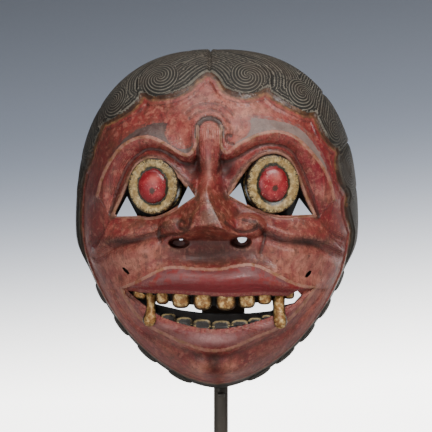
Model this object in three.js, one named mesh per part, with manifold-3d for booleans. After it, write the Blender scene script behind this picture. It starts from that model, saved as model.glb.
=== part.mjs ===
// Carved wooden topeng mask with disc eyes, gold teeth and fangs, held upright by a steel display stand.
// Units are millimetres, +Z is up, the face looks along -Y, and the origin is the middle of the foot's
// underside. Inside the mask group x and z are measured from the middle of the mask's flat back edge.

import * as THREE from 'three';
import { mergeVertices } from 'three/addons/utils/BufferGeometryUtils.js';
import Module from 'manifold-3d';

const wasm = await Module();
wasm.setup();

// Driving dimensions of the mask.
const HALF_WIDTH = 75.4;
const HALF_HEIGHT = 92.4;
const FACE_DEPTH = 64;
const FACE_ROUNDNESS = 2.5;
const CHIN_ROUNDNESS = 1.72;
const BROW_ROUNDNESS = 2.45;
const WALL = 9;
const HAIR_HEIGHT = 2.6;
const MAP_RADIUS = 75;

// Driving dimensions of the stand.
const CHIN_CLEARANCE = 112;
const ROD_DIAMETER = 8;
const ROD_X = 2.2;
const FOOT_WIDTH = 130;
const FOOT_DEPTH = 120;
const FOOT_THICKNESS = 8;
const FOOT_CORNER = 6;
const BAR_THICKNESS = 3;
const PLATE_WIDTH = 24;
const PLATE_SHIFT = 1.3;
const PLATE_BOTTOM = -80;
const PLATE_TOP = -43;
const STEM_WIDTH = 8;
const CROSS_TOP = 43;
const CROSS_HEIGHT = 10;
const CROSS_HALF = 42;
const ARM_REACH = 36;
const TONGUE_WIDTH = 4;
const TONGUE_THICKNESS = 2;
const TONGUE_REACH = 12;
const GAP = 0.3;

// Places that follow from the driving dimensions.
const MASK_Z = FOOT_THICKNESS + CHIN_CLEARANCE + HALF_HEIGHT + HAIR_HEIGHT;
const BACK_Y = 28;
const ROD_Y = BACK_Y + GAP + ROD_DIAMETER / 2;
const ROD_TOP = MASK_Z - 60;

// Materials.
const paintedWood = new THREE.MeshStandardMaterial({ color: 0x9a4a40, roughness: 0.42, metalness: 0 });
const blackSteel = new THREE.MeshStandardMaterial({ color: 0x24221f, roughness: 0.5, metalness: 0.6 });

const smooth = (low, high, value) => THREE.MathUtils.smoothstep(value, low, high);

// A closed geometry as a solid that can be joined and cut.
function solidOf(geometry) {
  const bare = geometry.clone();
  bare.deleteAttribute('normal');
  bare.deleteAttribute('uv');
  const merged = mergeVertices(bare, 1e-4);
  return new wasm.Manifold(new wasm.Mesh({
    numProp: 3,
    vertProperties: new Float32Array(merged.attributes.position.array),
    triVerts: new Uint32Array(merged.index.array),
  }));
}

// Triangles of the largest shell, so that a tiny pocket sealed between two beads is filled.
function largestShell(triangles, vertexCount) {
  const parent = Array.from({ length: vertexCount }, (_, vertex) => vertex);
  const rootOf = (vertex) => {
    let root = vertex;
    while (parent[root] !== root) root = parent[root];
    parent[vertex] = root;
    return root;
  };
  const shells = new Map();
  for (let start = 0; start < triangles.length; start += 3) {
    parent[rootOf(triangles[start + 1])] = rootOf(triangles[start]);
    parent[rootOf(triangles[start + 2])] = rootOf(triangles[start]);
  }
  for (let start = 0; start < triangles.length; start += 3) {
    const root = rootOf(triangles[start]);
    if (!shells.has(root)) shells.set(root, []);
    shells.get(root).push(...triangles.subarray(start, start + 3));
  }
  return [...shells.values()].sort((one, other) => other.length - one.length)[0];
}

// The joined solid as a geometry again.
function geometryOf(solid) {
  const mesh = solid.getMesh();
  const geometry = new THREE.BufferGeometry();
  geometry.setAttribute('position', new THREE.BufferAttribute(new Float32Array(mesh.vertProperties), 3));
  geometry.setIndex(largestShell(mesh.triVerts, mesh.vertProperties.length / 3));
  geometry.computeVertexNormals();
  return geometry;
}

// Outline of the back edge: a superellipse, pointed at the chin and fuller at the brow.
function outlineRadius(phi, inset = 0) {
  const sine = Math.sin(phi);
  const power = THREE.MathUtils.lerp(CHIN_ROUNDNESS, BROW_ROUNDNESS, smooth(-0.45, 0.55, sine));
  const across = Math.abs(Math.cos(phi) / (HALF_WIDTH - inset)) ** power;
  const along = Math.abs(sine / (HALF_HEIGHT - inset)) ** power;
  return (across + along) ** (-1 / power);
}

// Distance from the middle of the back to the plain dome, in the direction psi off the front, phi round it.
function domeReach(psi, phi, inset = 0) {
  const side = (Math.sin(psi) / outlineRadius(phi, inset)) ** FACE_ROUNDNESS;
  const front = (Math.max(Math.cos(psi), 0) / (FACE_DEPTH - inset)) ** FACE_ROUNDNESS;
  return (side + front) ** (-1 / FACE_ROUNDNESS);
}

// Depth of the plain dome at a place of the front view.
function domeDepth(x, z) {
  const share = Math.hypot(x, z) / outlineRadius(Math.atan2(z, x));
  return FACE_DEPTH * Math.max(1 - share ** FACE_ROUNDNESS, 0) ** (1 / FACE_ROUNDNESS);
}

// Broad swells and hollows of the face: middle, half sizes and height of each.
const SWELLS = [
  { name: 'muzzle', x: 0, z: -43, wide: 47, tall: 24, height: 8 },
  { name: 'left cheek', x: -43, z: -14, wide: 19, tall: 11, height: 6 },
  { name: 'right cheek', x: 43, z: -14, wide: 19, tall: 11, height: 6 },
  { name: 'left eye bag', x: -36, z: -4, wide: 22, tall: 4.5, height: 3 },
  { name: 'right eye bag', x: 33, z: -3, wide: 22, tall: 4.5, height: 3 },
  { name: 'left socket', x: -34, z: 17, wide: 21, tall: 17, height: -5 },
  { name: 'right socket', x: 30, z: 18, wide: 21, tall: 17, height: -5 },
  { name: 'left of the bridge', x: -14, z: 27, wide: 5, tall: 7, height: -4 },
  { name: 'right of the bridge', x: 6, z: 27, wide: 5, tall: 7, height: -4 },
  { name: 'forehead', x: 0, z: 50, wide: 45, tall: 22, height: 4 },
  { name: 'chin', x: 1, z: -80, wide: 20, tall: 11, height: 6 },
  { name: 'philtrum', x: -3, z: -20, wide: 16, tall: 6, height: -5 },
];

// Ridge between the brows: both ends, radius and height.
const FINGER = { from: [-4, 49], to: [-4.5, 30], radius: 6.5, height: 5 };

// Nose, level by level from the bridge to the tip: middle, half width and height of its ridge.
const NOSE = [
  { z: 40, x: -4.2, half: 4.5, height: 0 },
  { z: 33, x: -4.3, half: 6, height: 4 },
  { z: 24, x: -4.8, half: 8, height: 9 },
  { z: 14, x: -5.6, half: 11.5, height: 15.5 },
  { z: 4, x: -5, half: 16, height: 17.5 },
  { z: -6, x: -3.8, half: 19.5, height: 18.5 },
  { z: -12, x: -3.4, half: 21, height: 17 },
];
const NOSE_UNDERSIDE = [-16, -9];

// Height of the nose's ridge, which widens down to the tip and is cut off flat below.
function noseRidge(x, z) {
  const next = NOSE.findIndex((level) => level.z < z);
  if (next === 0) return 0;
  const low = NOSE[next < 0 ? NOSE.length - 1 : next];
  const high = next < 0 ? low : NOSE[next - 1];
  const share = next < 0 ? 0 : (z - low.z) / (high.z - low.z);
  const at = (key) => THREE.MathUtils.lerp(low[key], high[key], share);
  const off = Math.abs(x - at('x')) / at('half');
  return at('height') * Math.max(1 - off ** 1.5, 0) * smooth(...NOSE_UNDERSIDE, z);
}

// Height of the face's broad forms over the plain dome.
function faceRelief(x, z) {
  let height = 0;
  for (const swell of SWELLS) {
    const across = (x - swell.x) / swell.wide;
    const along = (z - swell.z) / swell.tall;
    height += swell.height * Math.exp(-(across * across + along * along));
  }
  const start = new THREE.Vector2(...FINGER.from);
  const run = new THREE.Vector2(...FINGER.to).sub(start);
  const offset = new THREE.Vector2(x, z).sub(start);
  const share = THREE.MathUtils.clamp(offset.dot(run) / run.lengthSq(), 0, 1);
  const distance = offset.distanceTo(run.clone().multiplyScalar(share)) / FINGER.radius;
  return height + FINGER.height * Math.exp(-distance * distance) + noseRidge(x, z);
}

// Point of the face at a place of the front view, raised or sunk by a height.
function facePoint(x, z, raise = 0) {
  return new THREE.Vector3(x, -(domeDepth(x, z) + faceRelief(x, z) + raise), z);
}

// Point of the hair map, whose a and b are arc lengths outward from the middle of the face.
function mapPoint(a, b, raise = 0) {
  const phi = Math.atan2(b, a);
  const psi = Math.hypot(a, b) / MAP_RADIUS;
  const reach = domeReach(psi, phi) + raise;
  const side = reach * Math.sin(psi);
  return new THREE.Vector3(side * Math.cos(phi), -reach * Math.cos(psi), side * Math.sin(phi));
}

// Hair border on the hair map: how far out the hair starts in each direction.
function hairStart(phi) {
  const top = smooth(-0.1, 0.75, Math.sin(phi));
  return THREE.MathUtils.lerp(112, 76, top);
}

// Height of the hair over the dome at a place of the hair map.
function hairRelief(a, b) {
  const start = hairStart(Math.atan2(b, a));
  return HAIR_HEIGHT * smooth(start - 2, start + 3, Math.hypot(a, b));
}

// Closed dome over a squared-off disc grid, with a flat back.
function domeGeometry(steps, surfaceAt) {
  const positions = [];
  const faces = [];
  const side = steps + 1;
  for (let row = 0; row <= steps; row++) {
    for (let column = 0; column <= steps; column++) {
      const s = (2 * column) / steps - 1;
      const t = (2 * row) / steps - 1;
      const u = s * Math.sqrt(1 - (t * t) / 2);
      const v = t * Math.sqrt(1 - (s * s) / 2);
      positions.push(...surfaceAt(u, v).toArray());
    }
  }
  for (let row = 0; row < steps; row++) {
    for (let column = 0; column < steps; column++) {
      const corner = row * side + column;
      faces.push(corner, corner + 1, corner + side + 1);
      faces.push(corner, corner + side + 1, corner + side);
    }
  }
  const middle = positions.length / 3;
  positions.push(0, 0, 0);
  const rim = [];
  for (let column = 0; column < steps; column++) rim.push(column);
  for (let row = 0; row < steps; row++) rim.push(row * side + steps);
  for (let column = steps; column > 0; column--) rim.push(steps * side + column);
  for (let row = steps; row > 0; row--) rim.push(row * side);
  rim.forEach((corner, place) => faces.push(rim[(place + 1) % rim.length], corner, middle));
  const geometry = new THREE.BufferGeometry();
  geometry.setAttribute('position', new THREE.Float32BufferAttribute(positions, 3));
  geometry.setIndex(faces);
  return geometry;
}

// Outside of the mask: dome, broad forms of the face and raised hair.
function maskOutside() {
  const steps = 34;
  return domeGeometry(steps, (u, v) => {
    const a = (u * MAP_RADIUS * Math.PI) / 2;
    const b = (v * MAP_RADIUS * Math.PI) / 2;
    const point = mapPoint(a, b, hairRelief(a, b));
    const share = Math.min(Math.hypot(u, v), 1);
    point.y = share > 0.999 ? 0 : point.y - faceRelief(point.x, point.z) * (1 - share ** 8);
    return point;
  });
}

// Hollow behind the face, a smaller dome that also follows the nose and the mouth from inside.
function maskHollow() {
  const steps = 16;
  const behind = 2;
  return domeGeometry(steps, (u, v) => {
    const phi = Math.atan2(v, u);
    const psi = Math.min(Math.hypot(u, v), 1) * (Math.PI / 2);
    const reach = domeReach(psi, phi, WALL);
    const side = reach * Math.sin(psi);
    const x = side * Math.cos(phi);
    const z = side * Math.sin(phi);
    const relief = 0.6 * faceRelief(x, z) * (1 - Math.sin(psi) ** 8);
    return new THREE.Vector3(x, behind - (reach * Math.cos(psi) + relief), z);
  });
}

// The face again, sunk by a depth, as the floor of a recess.
function sunkFace(sink) {
  const steps = 18;
  return domeGeometry(steps, (u, v) => {
    const point = mapPoint((u * MAP_RADIUS * Math.PI) / 2, (v * MAP_RADIUS * Math.PI) / 2, 0);
    point.y = Math.min(point.y - faceRelief(point.x, point.z) + sink, 0);
    return point;
  });
}

// Tube with a round section along points that it passes through.
function tubeAlong(points, radius, steps, sides = 6) {
  const section = new THREE.Shape();
  section.absarc(0, 0, radius, 0, 2 * Math.PI);
  const path = new THREE.CatmullRomCurve3(points, false, 'centripetal');
  return new THREE.ExtrudeGeometry(section, {
    steps, extrudePath: path, bevelEnabled: false, curveSegments: sides / 2,
  });
}

// Raised line of the face: a tube sunk into it by a part of its radius.
function faceBead(places, radius, raise, steps) {
  return tubeAlong(places.map(([x, z]) => facePoint(x, z, raise)), radius, steps);
}

// Prism through the wall, cut straight back from an outline in the front view.
function wallCutter(places) {
  const shape = new THREE.Shape(places.map(([x, z]) => new THREE.Vector2(x, z)));
  const length = 100;
  const prism = new THREE.ExtrudeGeometry(shape, { depth: length, bevelEnabled: false });
  return prism.rotateX(Math.PI / 2);
}

// Brow ridges, each from its inner hook out to the temple.
const BROWS = [
  [[-10.4, 47], [-12.6, 37.6], [-18.5, 34], [-26, 38], [-37, 43], [-47, 40.6], [-56, 31], [-61.5, 20]],
  [[2, 46], [4, 36], [9, 37], [18, 42], [30.5, 45.8], [42, 43], [51, 35], [58.5, 22]],
];

// Eyelids round each opening, closed at both corners.
const UPPER_LIDS = [
  [[-57, 3], [-52, 13.5], [-46.5, 25.5], [-40.5, 33], [-31, 34], [-23.5, 27.5], [-11.5, 13]],
  [[6.2, 13.5], [13, 26.5], [21.5, 35], [31, 37.5], [40, 33], [46, 20], [53, 4]],
];
const LOWER_LIDS = [
  [[-57, 2.5], [-45, 1.4], [-35, 1.2], [-25, 4.5], [-11.5, 13.5]],
  [[6.2, 14], [17, 7], [28, 3], [40, 1.8], [54, 3]],
];

// Lips: upper line in two bows, lower line in one.
const UPPER_LIP = [[-50, -38], [-38, -34], [-24, -30], [-3, -31], [18, -29], [36, -34.5], [51, -38.5]];
const LOWER_LIP = [[-47, -44], [-36, -54], [-20, -61], [-1, -64.5], [19, -60.5], [35, -54.5], [47, -45]];

// Raised lines of the face: radius, height of the middle over the face, and steps along each.
const BEADS = [
  { lines: BROWS, radius: 3.8, raise: 0.6, steps: 12 },
  { lines: UPPER_LIDS, radius: 1.9, raise: 0.2, steps: 10 },
  { lines: LOWER_LIDS, radius: 1.9, raise: 0.2, steps: 7 },
  { lines: [UPPER_LIP], radius: 5.6, raise: -1.6, steps: 12 },
  { lines: [LOWER_LIP], radius: 5, raise: -1.6, steps: 10 },
];

// Recesses that the eyes and the teeth stand in.
const SOCKETS = UPPER_LIDS.map((lid, side) => [...lid, ...LOWER_LIDS[side].slice(1, -1).reverse()]);
const SOCKET_SINK = 6;
const MOUTH_RECESS = [
  [-49, -38.5], [-42, -49], [-31, -53.5], [-20, -58.5], [-1, -62], [19, -58.2], [32, -54], [42, -49],
  [50, -38.5],
];
const MOUTH_SINK = 5;

// Openings: both corners of each eye, the mouth, the nostrils and a hole in each cheek.
const EYE_HOLES = [
  [[-54.5, 2.8], [-43.5, 3.2], [-49.3, 14.6]],
  [[-15.4, 19], [-20.8, 7.2], [-12, 13.2]],
  [[6.8, 13.6], [16.2, 8.8], [12.2, 21.4]],
  [[44.8, 13.8], [41, 4], [51.6, 4.2]],
];
const MOUTH_GAP = [
  [-44, -39.8], [-31, -44.6], [-19, -47.6], [-7, -49.2], [5, -50], [18, -49.6], [29, -48.6], [42, -44.6],
  [46, -40], [30, -38], [0, -38], [-30, -38],
];
const ROUND_HOLES = [
  { place: [-49.5, -27], diameter: 2.6 },
  { place: [49.5, -29.5], diameter: 2.6 },
  { place: [-20, -10.5], diameter: 4.4 },
  { place: [13.2, -10.8], diameter: 5 },
];

// Disc eyes, which stand out of their sockets and lean outward.
const EYES = [
  { x: -35.1, z: 18.4, radius: 13.2, lean: -14 },
  { x: 29.8, z: 19.2, radius: 13.9, lean: 13 },
];
const EYE_FRONT = 68;
const EYE_LENGTH = 20;
const IRIS_SHARE = 0.62;

// Teeth: middle, width, top and bottom of each upper one; middle and top of each lower one.
const UPPER_TEETH = [
  { x: -29.6, width: 6.4, top: -37, bottom: -45.2 },
  { x: -19.5, width: 9.4, top: -37, bottom: -46.8 },
  { x: -7.8, width: 9.8, top: -37, bottom: -47.8 },
  { x: 4.8, width: 10.4, top: -37, bottom: -47.3 },
  { x: 15.9, width: 9, top: -37, bottom: -46.8 },
  { x: 25.2, width: 7.2, top: -37, bottom: -45.2 },
  { x: 38.2, width: 5, top: -37, bottom: -42.7 },
];
const LOWER_TEETH = [[-25.8, -50.5], [-17.2, -52.4], [-7.5, -53.4], [2.8, -54.2], [13.8, -54], [23.6, -52]];
const LOWER_TOOTH_WIDTH = 8.6;
const LOWER_TOOTH_ROOT = 9;
const TOOTH_DEPTH = 7;
const TOOTH_SINK = 1.5;
const FANGS = [
  { x: -35, tip: -56.5, lean: -3 },
  { x: 33, tip: -58, lean: 0 },
];
const FANG_RADIUS = 4.1;
const FANG_TOP = -38;
const FANG_SEAT = -2;

// Wings of the nose.
const WINGS = [{ x: -22.2, z: -5.4 }, { x: 17.6, z: -5.4 }];
const WING = { wide: 8.6, deep: 9.5, tall: 6.6, raise: 0.5 };

// Locks of hair on the hair map: where each starts, then a spiral round a middle.
const LOCKS = [
  { path: [-6, 82], middle: [-30.5, 77.5], radius: 9.5, from: 320, turns: -1.25 },
  { path: [-42, 76], middle: [-60.5, 68], radius: 9.5, from: 350, turns: -1.25 },
  { path: [-71, 62], middle: [-83, 49], radius: 8.5, from: 20, turns: -1.25 },
  { path: [-3, 82], middle: [16.5, 77.5], radius: 9.5, from: 220, turns: 1.25 },
  { path: [28, 76], middle: [47.5, 69.5], radius: 9.5, from: 190, turns: 1.25 },
  { path: [59, 62], middle: [71, 51.5], radius: 8, from: 170, turns: 1.25 },
  { path: [77, 42], middle: [88, 31], radius: 8, from: 160, turns: 1.25 },
];
const LOCK_RADIUS = 2.6;
const LOCK_SINK = 0.4;
const LOCK_CLOSING = 0.75;

// Beard curls on the side wall: where the row starts and ends round the chin, and how many on a side.
const BEARD_FROM = -32;
const BEARD_TO = -84;
const BEARD_COUNT = 6;
const BEARD_SWEEP = 78;
const CURL_RADIUS = 9;
const CURL_THICKNESS = 4.5;
const CURL_SINK = 1;

// Disc eye: a barrel with a dished rim and a domed iris, its axis along the view.
function eyeGeometry({ x, z, radius, lean }) {
  const iris = radius * IRIS_SHARE;
  const profile = [
    [0, 0], [radius - 1, 0], [radius, EYE_LENGTH - 5], [radius - 0.6, EYE_LENGTH - 3],
    [iris + 1.2, EYE_LENGTH - 1.2], [iris, EYE_LENGTH - 1.9], [iris * 0.75, EYE_LENGTH - 0.3],
    [iris * 0.35, EYE_LENGTH + 0.6], [0, EYE_LENGTH + 0.8],
  ];
  const segments = 16;
  const eye = new THREE.LatheGeometry(profile.map(([r, h]) => new THREE.Vector2(r, h)), segments);
  eye.translate(0, -EYE_LENGTH, 0);
  eye.rotateZ(Math.PI + THREE.MathUtils.degToRad(lean));
  return eye.translate(x, -EYE_FRONT, z);
}

// Tooth: an upright slab with rounded cutting corners, set on the curve of the gums.
function toothGeometry({ x, width, top, bottom }, sink) {
  const corner = width * 0.3;
  const half = width / 2;
  const shape = new THREE.Shape();
  shape.moveTo(-half, top);
  shape.lineTo(-half, bottom + corner);
  shape.quadraticCurveTo(-half, bottom, -half + corner, bottom);
  shape.lineTo(half - corner, bottom);
  shape.quadraticCurveTo(half, bottom, half, bottom + corner);
  shape.lineTo(half, top);
  const slab = new THREE.ExtrudeGeometry(shape, {
    depth: TOOTH_DEPTH, bevelEnabled: false, curveSegments: 2,
  });
  slab.rotateX(Math.PI / 2);
  const front = facePoint(x, bottom, 0).y + sink;
  return slab.translate(x, front + TOOTH_DEPTH, 0);
}

// Lower tooth: the same slab turned over, rooted in the lower lip.
function lowerToothGeometry([x, edge]) {
  const tooth = toothGeometry({ x: 0, width: LOWER_TOOTH_WIDTH, top: LOWER_TOOTH_ROOT, bottom: 0 }, 0);
  tooth.computeBoundingBox();
  tooth.rotateY(Math.PI);
  const front = facePoint(x, edge, 0).y + TOOTH_SINK;
  return tooth.translate(x, front - tooth.boundingBox.min.y, edge);
}

// Fang: a turned tusk with a waist, its tip forward of the lips.
function fangGeometry({ x, tip, lean }) {
  const length = FANG_TOP - tip;
  const profile = [
    [0, 0], [FANG_RADIUS, 0], [FANG_RADIUS * 0.95, length * 0.3], [FANG_RADIUS * 0.72, length * 0.62],
    [FANG_RADIUS * 0.62, length * 0.85], [0, length],
  ];
  const segments = 10;
  const fang = new THREE.LatheGeometry(profile.map(([r, h]) => new THREE.Vector2(r, h)), segments);
  fang.rotateX(-Math.PI / 2);
  fang.rotateY(THREE.MathUtils.degToRad(lean));
  return fang.translate(x, facePoint(x, FANG_TOP, FANG_SEAT).y, FANG_TOP);
}

// Wing of the nose.
function wingGeometry({ x, z }) {
  const ball = new THREE.SphereGeometry(1, 10, 6);
  ball.scale(WING.wide, WING.deep, WING.tall);
  return ball.translate(x, -(domeDepth(x, z) + WING.raise), z);
}

// Lock of hair: a bead that sweeps in from the parting and curls up.
function lockGeometry({ path, middle, radius, from, turns }) {
  const places = [mapPoint(...path, 0)];
  const stops = 8;
  for (let stop = 0; stop <= stops; stop++) {
    const share = stop / stops;
    const angle = THREE.MathUtils.degToRad(from) + share * turns * 2 * Math.PI;
    const away = radius * (1 - LOCK_CLOSING * share);
    const a = middle[0] + away * Math.cos(angle);
    const b = middle[1] + away * Math.sin(angle);
    places.push(mapPoint(a, b, HAIR_HEIGHT - LOCK_SINK));
  }
  const steps = 12;
  return tubeAlong(places, LOCK_RADIUS, steps);
}

// Beard curl: a flat round boss low on the side wall.
function beardCurl(degrees) {
  const phi = THREE.MathUtils.degToRad(degrees);
  const psi = THREE.MathUtils.degToRad(BEARD_SWEEP);
  const side = domeReach(psi, phi) * Math.sin(psi) - CURL_SINK;
  const boss = new THREE.SphereGeometry(1, 8, 4);
  boss.scale(CURL_RADIUS, CURL_RADIUS, CURL_THICKNESS);
  const outward = new THREE.Vector3(Math.cos(phi), 0, Math.sin(phi));
  boss.applyQuaternion(new THREE.Quaternion().setFromUnitVectors(new THREE.Vector3(0, 0, 1), outward));
  return boss.translate(side * outward.x, -CURL_RADIUS - CURL_SINK, side * outward.z);
}

// Round hole through the wall from the front.
function roundCutter({ place: [x, z], diameter }) {
  const segments = 12;
  const places = [];
  for (let step = 0; step < segments; step++) {
    const angle = (step / segments) * 2 * Math.PI;
    places.push([x + (diameter / 2) * Math.cos(angle), z + (diameter / 2) * Math.sin(angle)]);
  }
  return wallCutter(places);
}

// The carved mask, one solid.
function maskGeometry() {
  let mask = solidOf(maskOutside());
  const join = (geometry) => { mask = mask.add(solidOf(geometry)); };
  const cut = (geometry) => { mask = mask.subtract(solidOf(geometry)); };
  const recess = (places, sink) => {
    mask = mask.subtract(solidOf(wallCutter(places)).subtract(solidOf(sunkFace(sink))));
  };
  SOCKETS.forEach((places) => recess(places, SOCKET_SINK));
  for (const { lines, radius, raise, steps } of BEADS) {
    lines.forEach((places) => join(faceBead(places, radius, raise, steps)));
  }
  recess(MOUTH_RECESS, MOUTH_SINK);
  WINGS.forEach((wing) => join(wingGeometry(wing)));
  LOCKS.forEach((lock) => join(lockGeometry(lock)));
  for (let step = 0; step < BEARD_COUNT; step++) {
    const degrees = THREE.MathUtils.lerp(BEARD_FROM, BEARD_TO, step / (BEARD_COUNT - 1));
    join(beardCurl(degrees));
    join(beardCurl(180 - degrees));
  }
  cut(maskHollow());
  EYE_HOLES.forEach((places) => cut(wallCutter(places)));
  cut(wallCutter(MOUTH_GAP));
  ROUND_HOLES.forEach((hole) => cut(roundCutter(hole)));
  EYES.forEach((eye) => join(eyeGeometry(eye)));
  UPPER_TEETH.forEach((tooth) => join(toothGeometry(tooth, TOOTH_SINK)));
  LOWER_TEETH.forEach((tooth) => join(lowerToothGeometry(tooth)));
  FANGS.forEach((fang) => join(fangGeometry(fang)));
  return geometryOf(mask);
}

// Flat foot plate with rounded corners.
function footGeometry() {
  const halfWidth = FOOT_WIDTH / 2;
  const halfDepth = FOOT_DEPTH / 2;
  const shape = new THREE.Shape();
  shape.moveTo(-halfWidth + FOOT_CORNER, -halfDepth);
  shape.lineTo(halfWidth - FOOT_CORNER, -halfDepth);
  shape.quadraticCurveTo(halfWidth, -halfDepth, halfWidth, -halfDepth + FOOT_CORNER);
  shape.lineTo(halfWidth, halfDepth - FOOT_CORNER);
  shape.quadraticCurveTo(halfWidth, halfDepth, halfWidth - FOOT_CORNER, halfDepth);
  shape.lineTo(-halfWidth + FOOT_CORNER, halfDepth);
  shape.quadraticCurveTo(-halfWidth, halfDepth, -halfWidth, halfDepth - FOOT_CORNER);
  shape.lineTo(-halfWidth, -halfDepth + FOOT_CORNER);
  shape.quadraticCurveTo(-halfWidth, -halfDepth, -halfWidth + FOOT_CORNER, -halfDepth);
  return new THREE.ExtrudeGeometry(shape, { depth: FOOT_THICKNESS, bevelEnabled: false, curveSegments: 4 });
}

// Steel box given by its two corners.
function barGeometry([x0, y0, z0], [x1, y1, z1]) {
  const bar = new THREE.BoxGeometry(x1 - x0, y1 - y0, z1 - z0);
  return bar.translate((x0 + x1) / 2, (y0 + y1) / 2, (z0 + z1) / 2);
}

// Rod from the foot up behind the mouth, with the tongue that the chin rests on.
function rodGeometry() {
  const bottom = FOOT_THICKNESS + GAP;
  const rod = new THREE.CylinderGeometry(ROD_DIAMETER / 2, ROD_DIAMETER / 2, ROD_TOP - bottom, 24);
  rod.rotateX(Math.PI / 2);
  rod.translate(ROD_X, ROD_Y, (ROD_TOP + bottom) / 2);
  const top = MASK_Z - HALF_HEIGHT - HAIR_HEIGHT - GAP;
  const tongue = barGeometry(
    [ROD_X - TONGUE_WIDTH / 2, BACK_Y - TONGUE_REACH, top - TONGUE_THICKNESS],
    [ROD_X + TONGUE_WIDTH / 2, ROD_Y, top],
  );
  return geometryOf(solidOf(rod).add(solidOf(tongue)));
}

// Bracket on the back of the rod: a plate behind the mouth, a narrow stem up to the brow, a cross bar,
// and two arms forward into the hollow that steady the mask.
function cradleGeometry() {
  const front = ROD_Y + ROD_DIAMETER / 2 + GAP;
  const back = front + BAR_THICKNESS;
  const plateTop = MASK_Z + PLATE_TOP;
  const crossTop = MASK_Z + CROSS_TOP;
  const crossBottom = crossTop - CROSS_HEIGHT;
  const plateX = ROD_X + PLATE_SHIFT;
  const plate = barGeometry(
    [plateX - PLATE_WIDTH / 2, front, MASK_Z + PLATE_BOTTOM],
    [plateX + PLATE_WIDTH / 2, back, plateTop],
  );
  const stem = barGeometry(
    [ROD_X - STEM_WIDTH / 2, front, plateTop - STEM_WIDTH],
    [ROD_X + STEM_WIDTH / 2, back, crossTop],
  );
  const cross = barGeometry([ROD_X - CROSS_HALF, front, crossBottom], [ROD_X + CROSS_HALF, back, crossTop]);
  let cradle = solidOf(plate).add(solidOf(stem)).add(solidOf(cross));
  for (const side of [-1, 1]) {
    const outer = ROD_X + side * CROSS_HALF;
    const inner = outer - side * BAR_THICKNESS;
    const arm = barGeometry(
      [Math.min(inner, outer), BACK_Y - ARM_REACH, crossBottom],
      [Math.max(inner, outer), back, crossTop],
    );
    cradle = cradle.add(solidOf(arm));
  }
  return geometryOf(cradle);
}

// The object: the mask resting on its stand.
const object = new THREE.Group();

const mask = new THREE.Mesh(maskGeometry(), paintedWood);
mask.name = 'mask';
mask.position.set(0, BACK_Y, MASK_Z);
object.add(mask);

const foot = new THREE.Mesh(footGeometry(), blackSteel);
foot.name = 'stand_foot';
object.add(foot);

const rod = new THREE.Mesh(rodGeometry(), blackSteel);
rod.name = 'stand_rod';
object.add(rod);

const cradle = new THREE.Mesh(cradleGeometry(), blackSteel);
cradle.name = 'stand_cradle';
object.add(cradle);

export default object;
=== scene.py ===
"""Carved and painted wooden topeng mask with disc eyes, gold teeth and fangs, on a black steel stand.

The mask is carved in mesh code: a plain dome is raised and cut along named lines, hollowed from behind,
pierced, and joined with its turned eyes, teeth and fangs. Sizes are millimetres on the mask, with x and z
in the front view from the middle of the flat back edge, and the finished meshes are in metres.
"""

import math
from types import SimpleNamespace

import bmesh
import bpy
import mathutils
import numpy as np
from bpy.props import FloatProperty, FloatVectorProperty, IntProperty, PointerProperty
from bpy.types import Operator, Panel, PropertyGroup
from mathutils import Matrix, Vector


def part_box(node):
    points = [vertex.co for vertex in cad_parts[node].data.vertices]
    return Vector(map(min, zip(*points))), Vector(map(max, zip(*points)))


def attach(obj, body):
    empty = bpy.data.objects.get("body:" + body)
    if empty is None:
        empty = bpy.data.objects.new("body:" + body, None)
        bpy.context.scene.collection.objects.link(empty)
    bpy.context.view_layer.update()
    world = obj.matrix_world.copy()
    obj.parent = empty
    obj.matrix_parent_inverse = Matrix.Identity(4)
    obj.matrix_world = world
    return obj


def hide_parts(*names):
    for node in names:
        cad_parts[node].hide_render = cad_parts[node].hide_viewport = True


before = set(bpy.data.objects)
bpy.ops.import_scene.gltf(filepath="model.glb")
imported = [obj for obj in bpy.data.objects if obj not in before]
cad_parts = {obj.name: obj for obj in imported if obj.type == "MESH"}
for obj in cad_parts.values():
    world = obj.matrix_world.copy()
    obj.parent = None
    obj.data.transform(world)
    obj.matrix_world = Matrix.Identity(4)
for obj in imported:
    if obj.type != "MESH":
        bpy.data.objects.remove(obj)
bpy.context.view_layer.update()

bl_info = {
    "name": "Topeng Mask",
    "version": (1, 0, 0),
    "blender": (4, 5, 0),
    "location": "3D View > Sidebar > Topeng Mask",
    "description": "Builds a carved and painted topeng mask on its steel display stand",
    "category": "Object",
}

# Frame and scale.
MM = 0.001
MASK_LOW, MASK_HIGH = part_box("mask")
MASK_MIDDLE = (0.0, MASK_HIGH[1], (MASK_LOW[2] + MASK_HIGH[2]) / 2)

# The plain dome that the face is carved from.
HALF_WIDTH = 75.4
HALF_HEIGHT = 92.4
FACE_DEPTH = 64.0
FACE_ROUNDNESS = 2.5
CHIN_ROUNDNESS = 1.72
BROW_ROUNDNESS = 2.45
WALL = 9.0
MAP_RADIUS = 75.0
MAP_RIM = MAP_RADIUS * math.pi / 2

# Camera's place beside and above the middle of the mask.
CAMERA_SHIFT = (-0.00056, 0.0028)


# Numbers and lines.

def smooth(low, high, value):
    """Smooth step from 0 at low to 1 at high."""
    share = np.clip((value - low) / (high - low), 0, 1)
    return share * share * (3 - 2 * share)


def bell(distance, radius):
    """Smooth hump of height 1 and the given radius."""
    return np.exp(-((distance / radius) ** 2))


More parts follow.
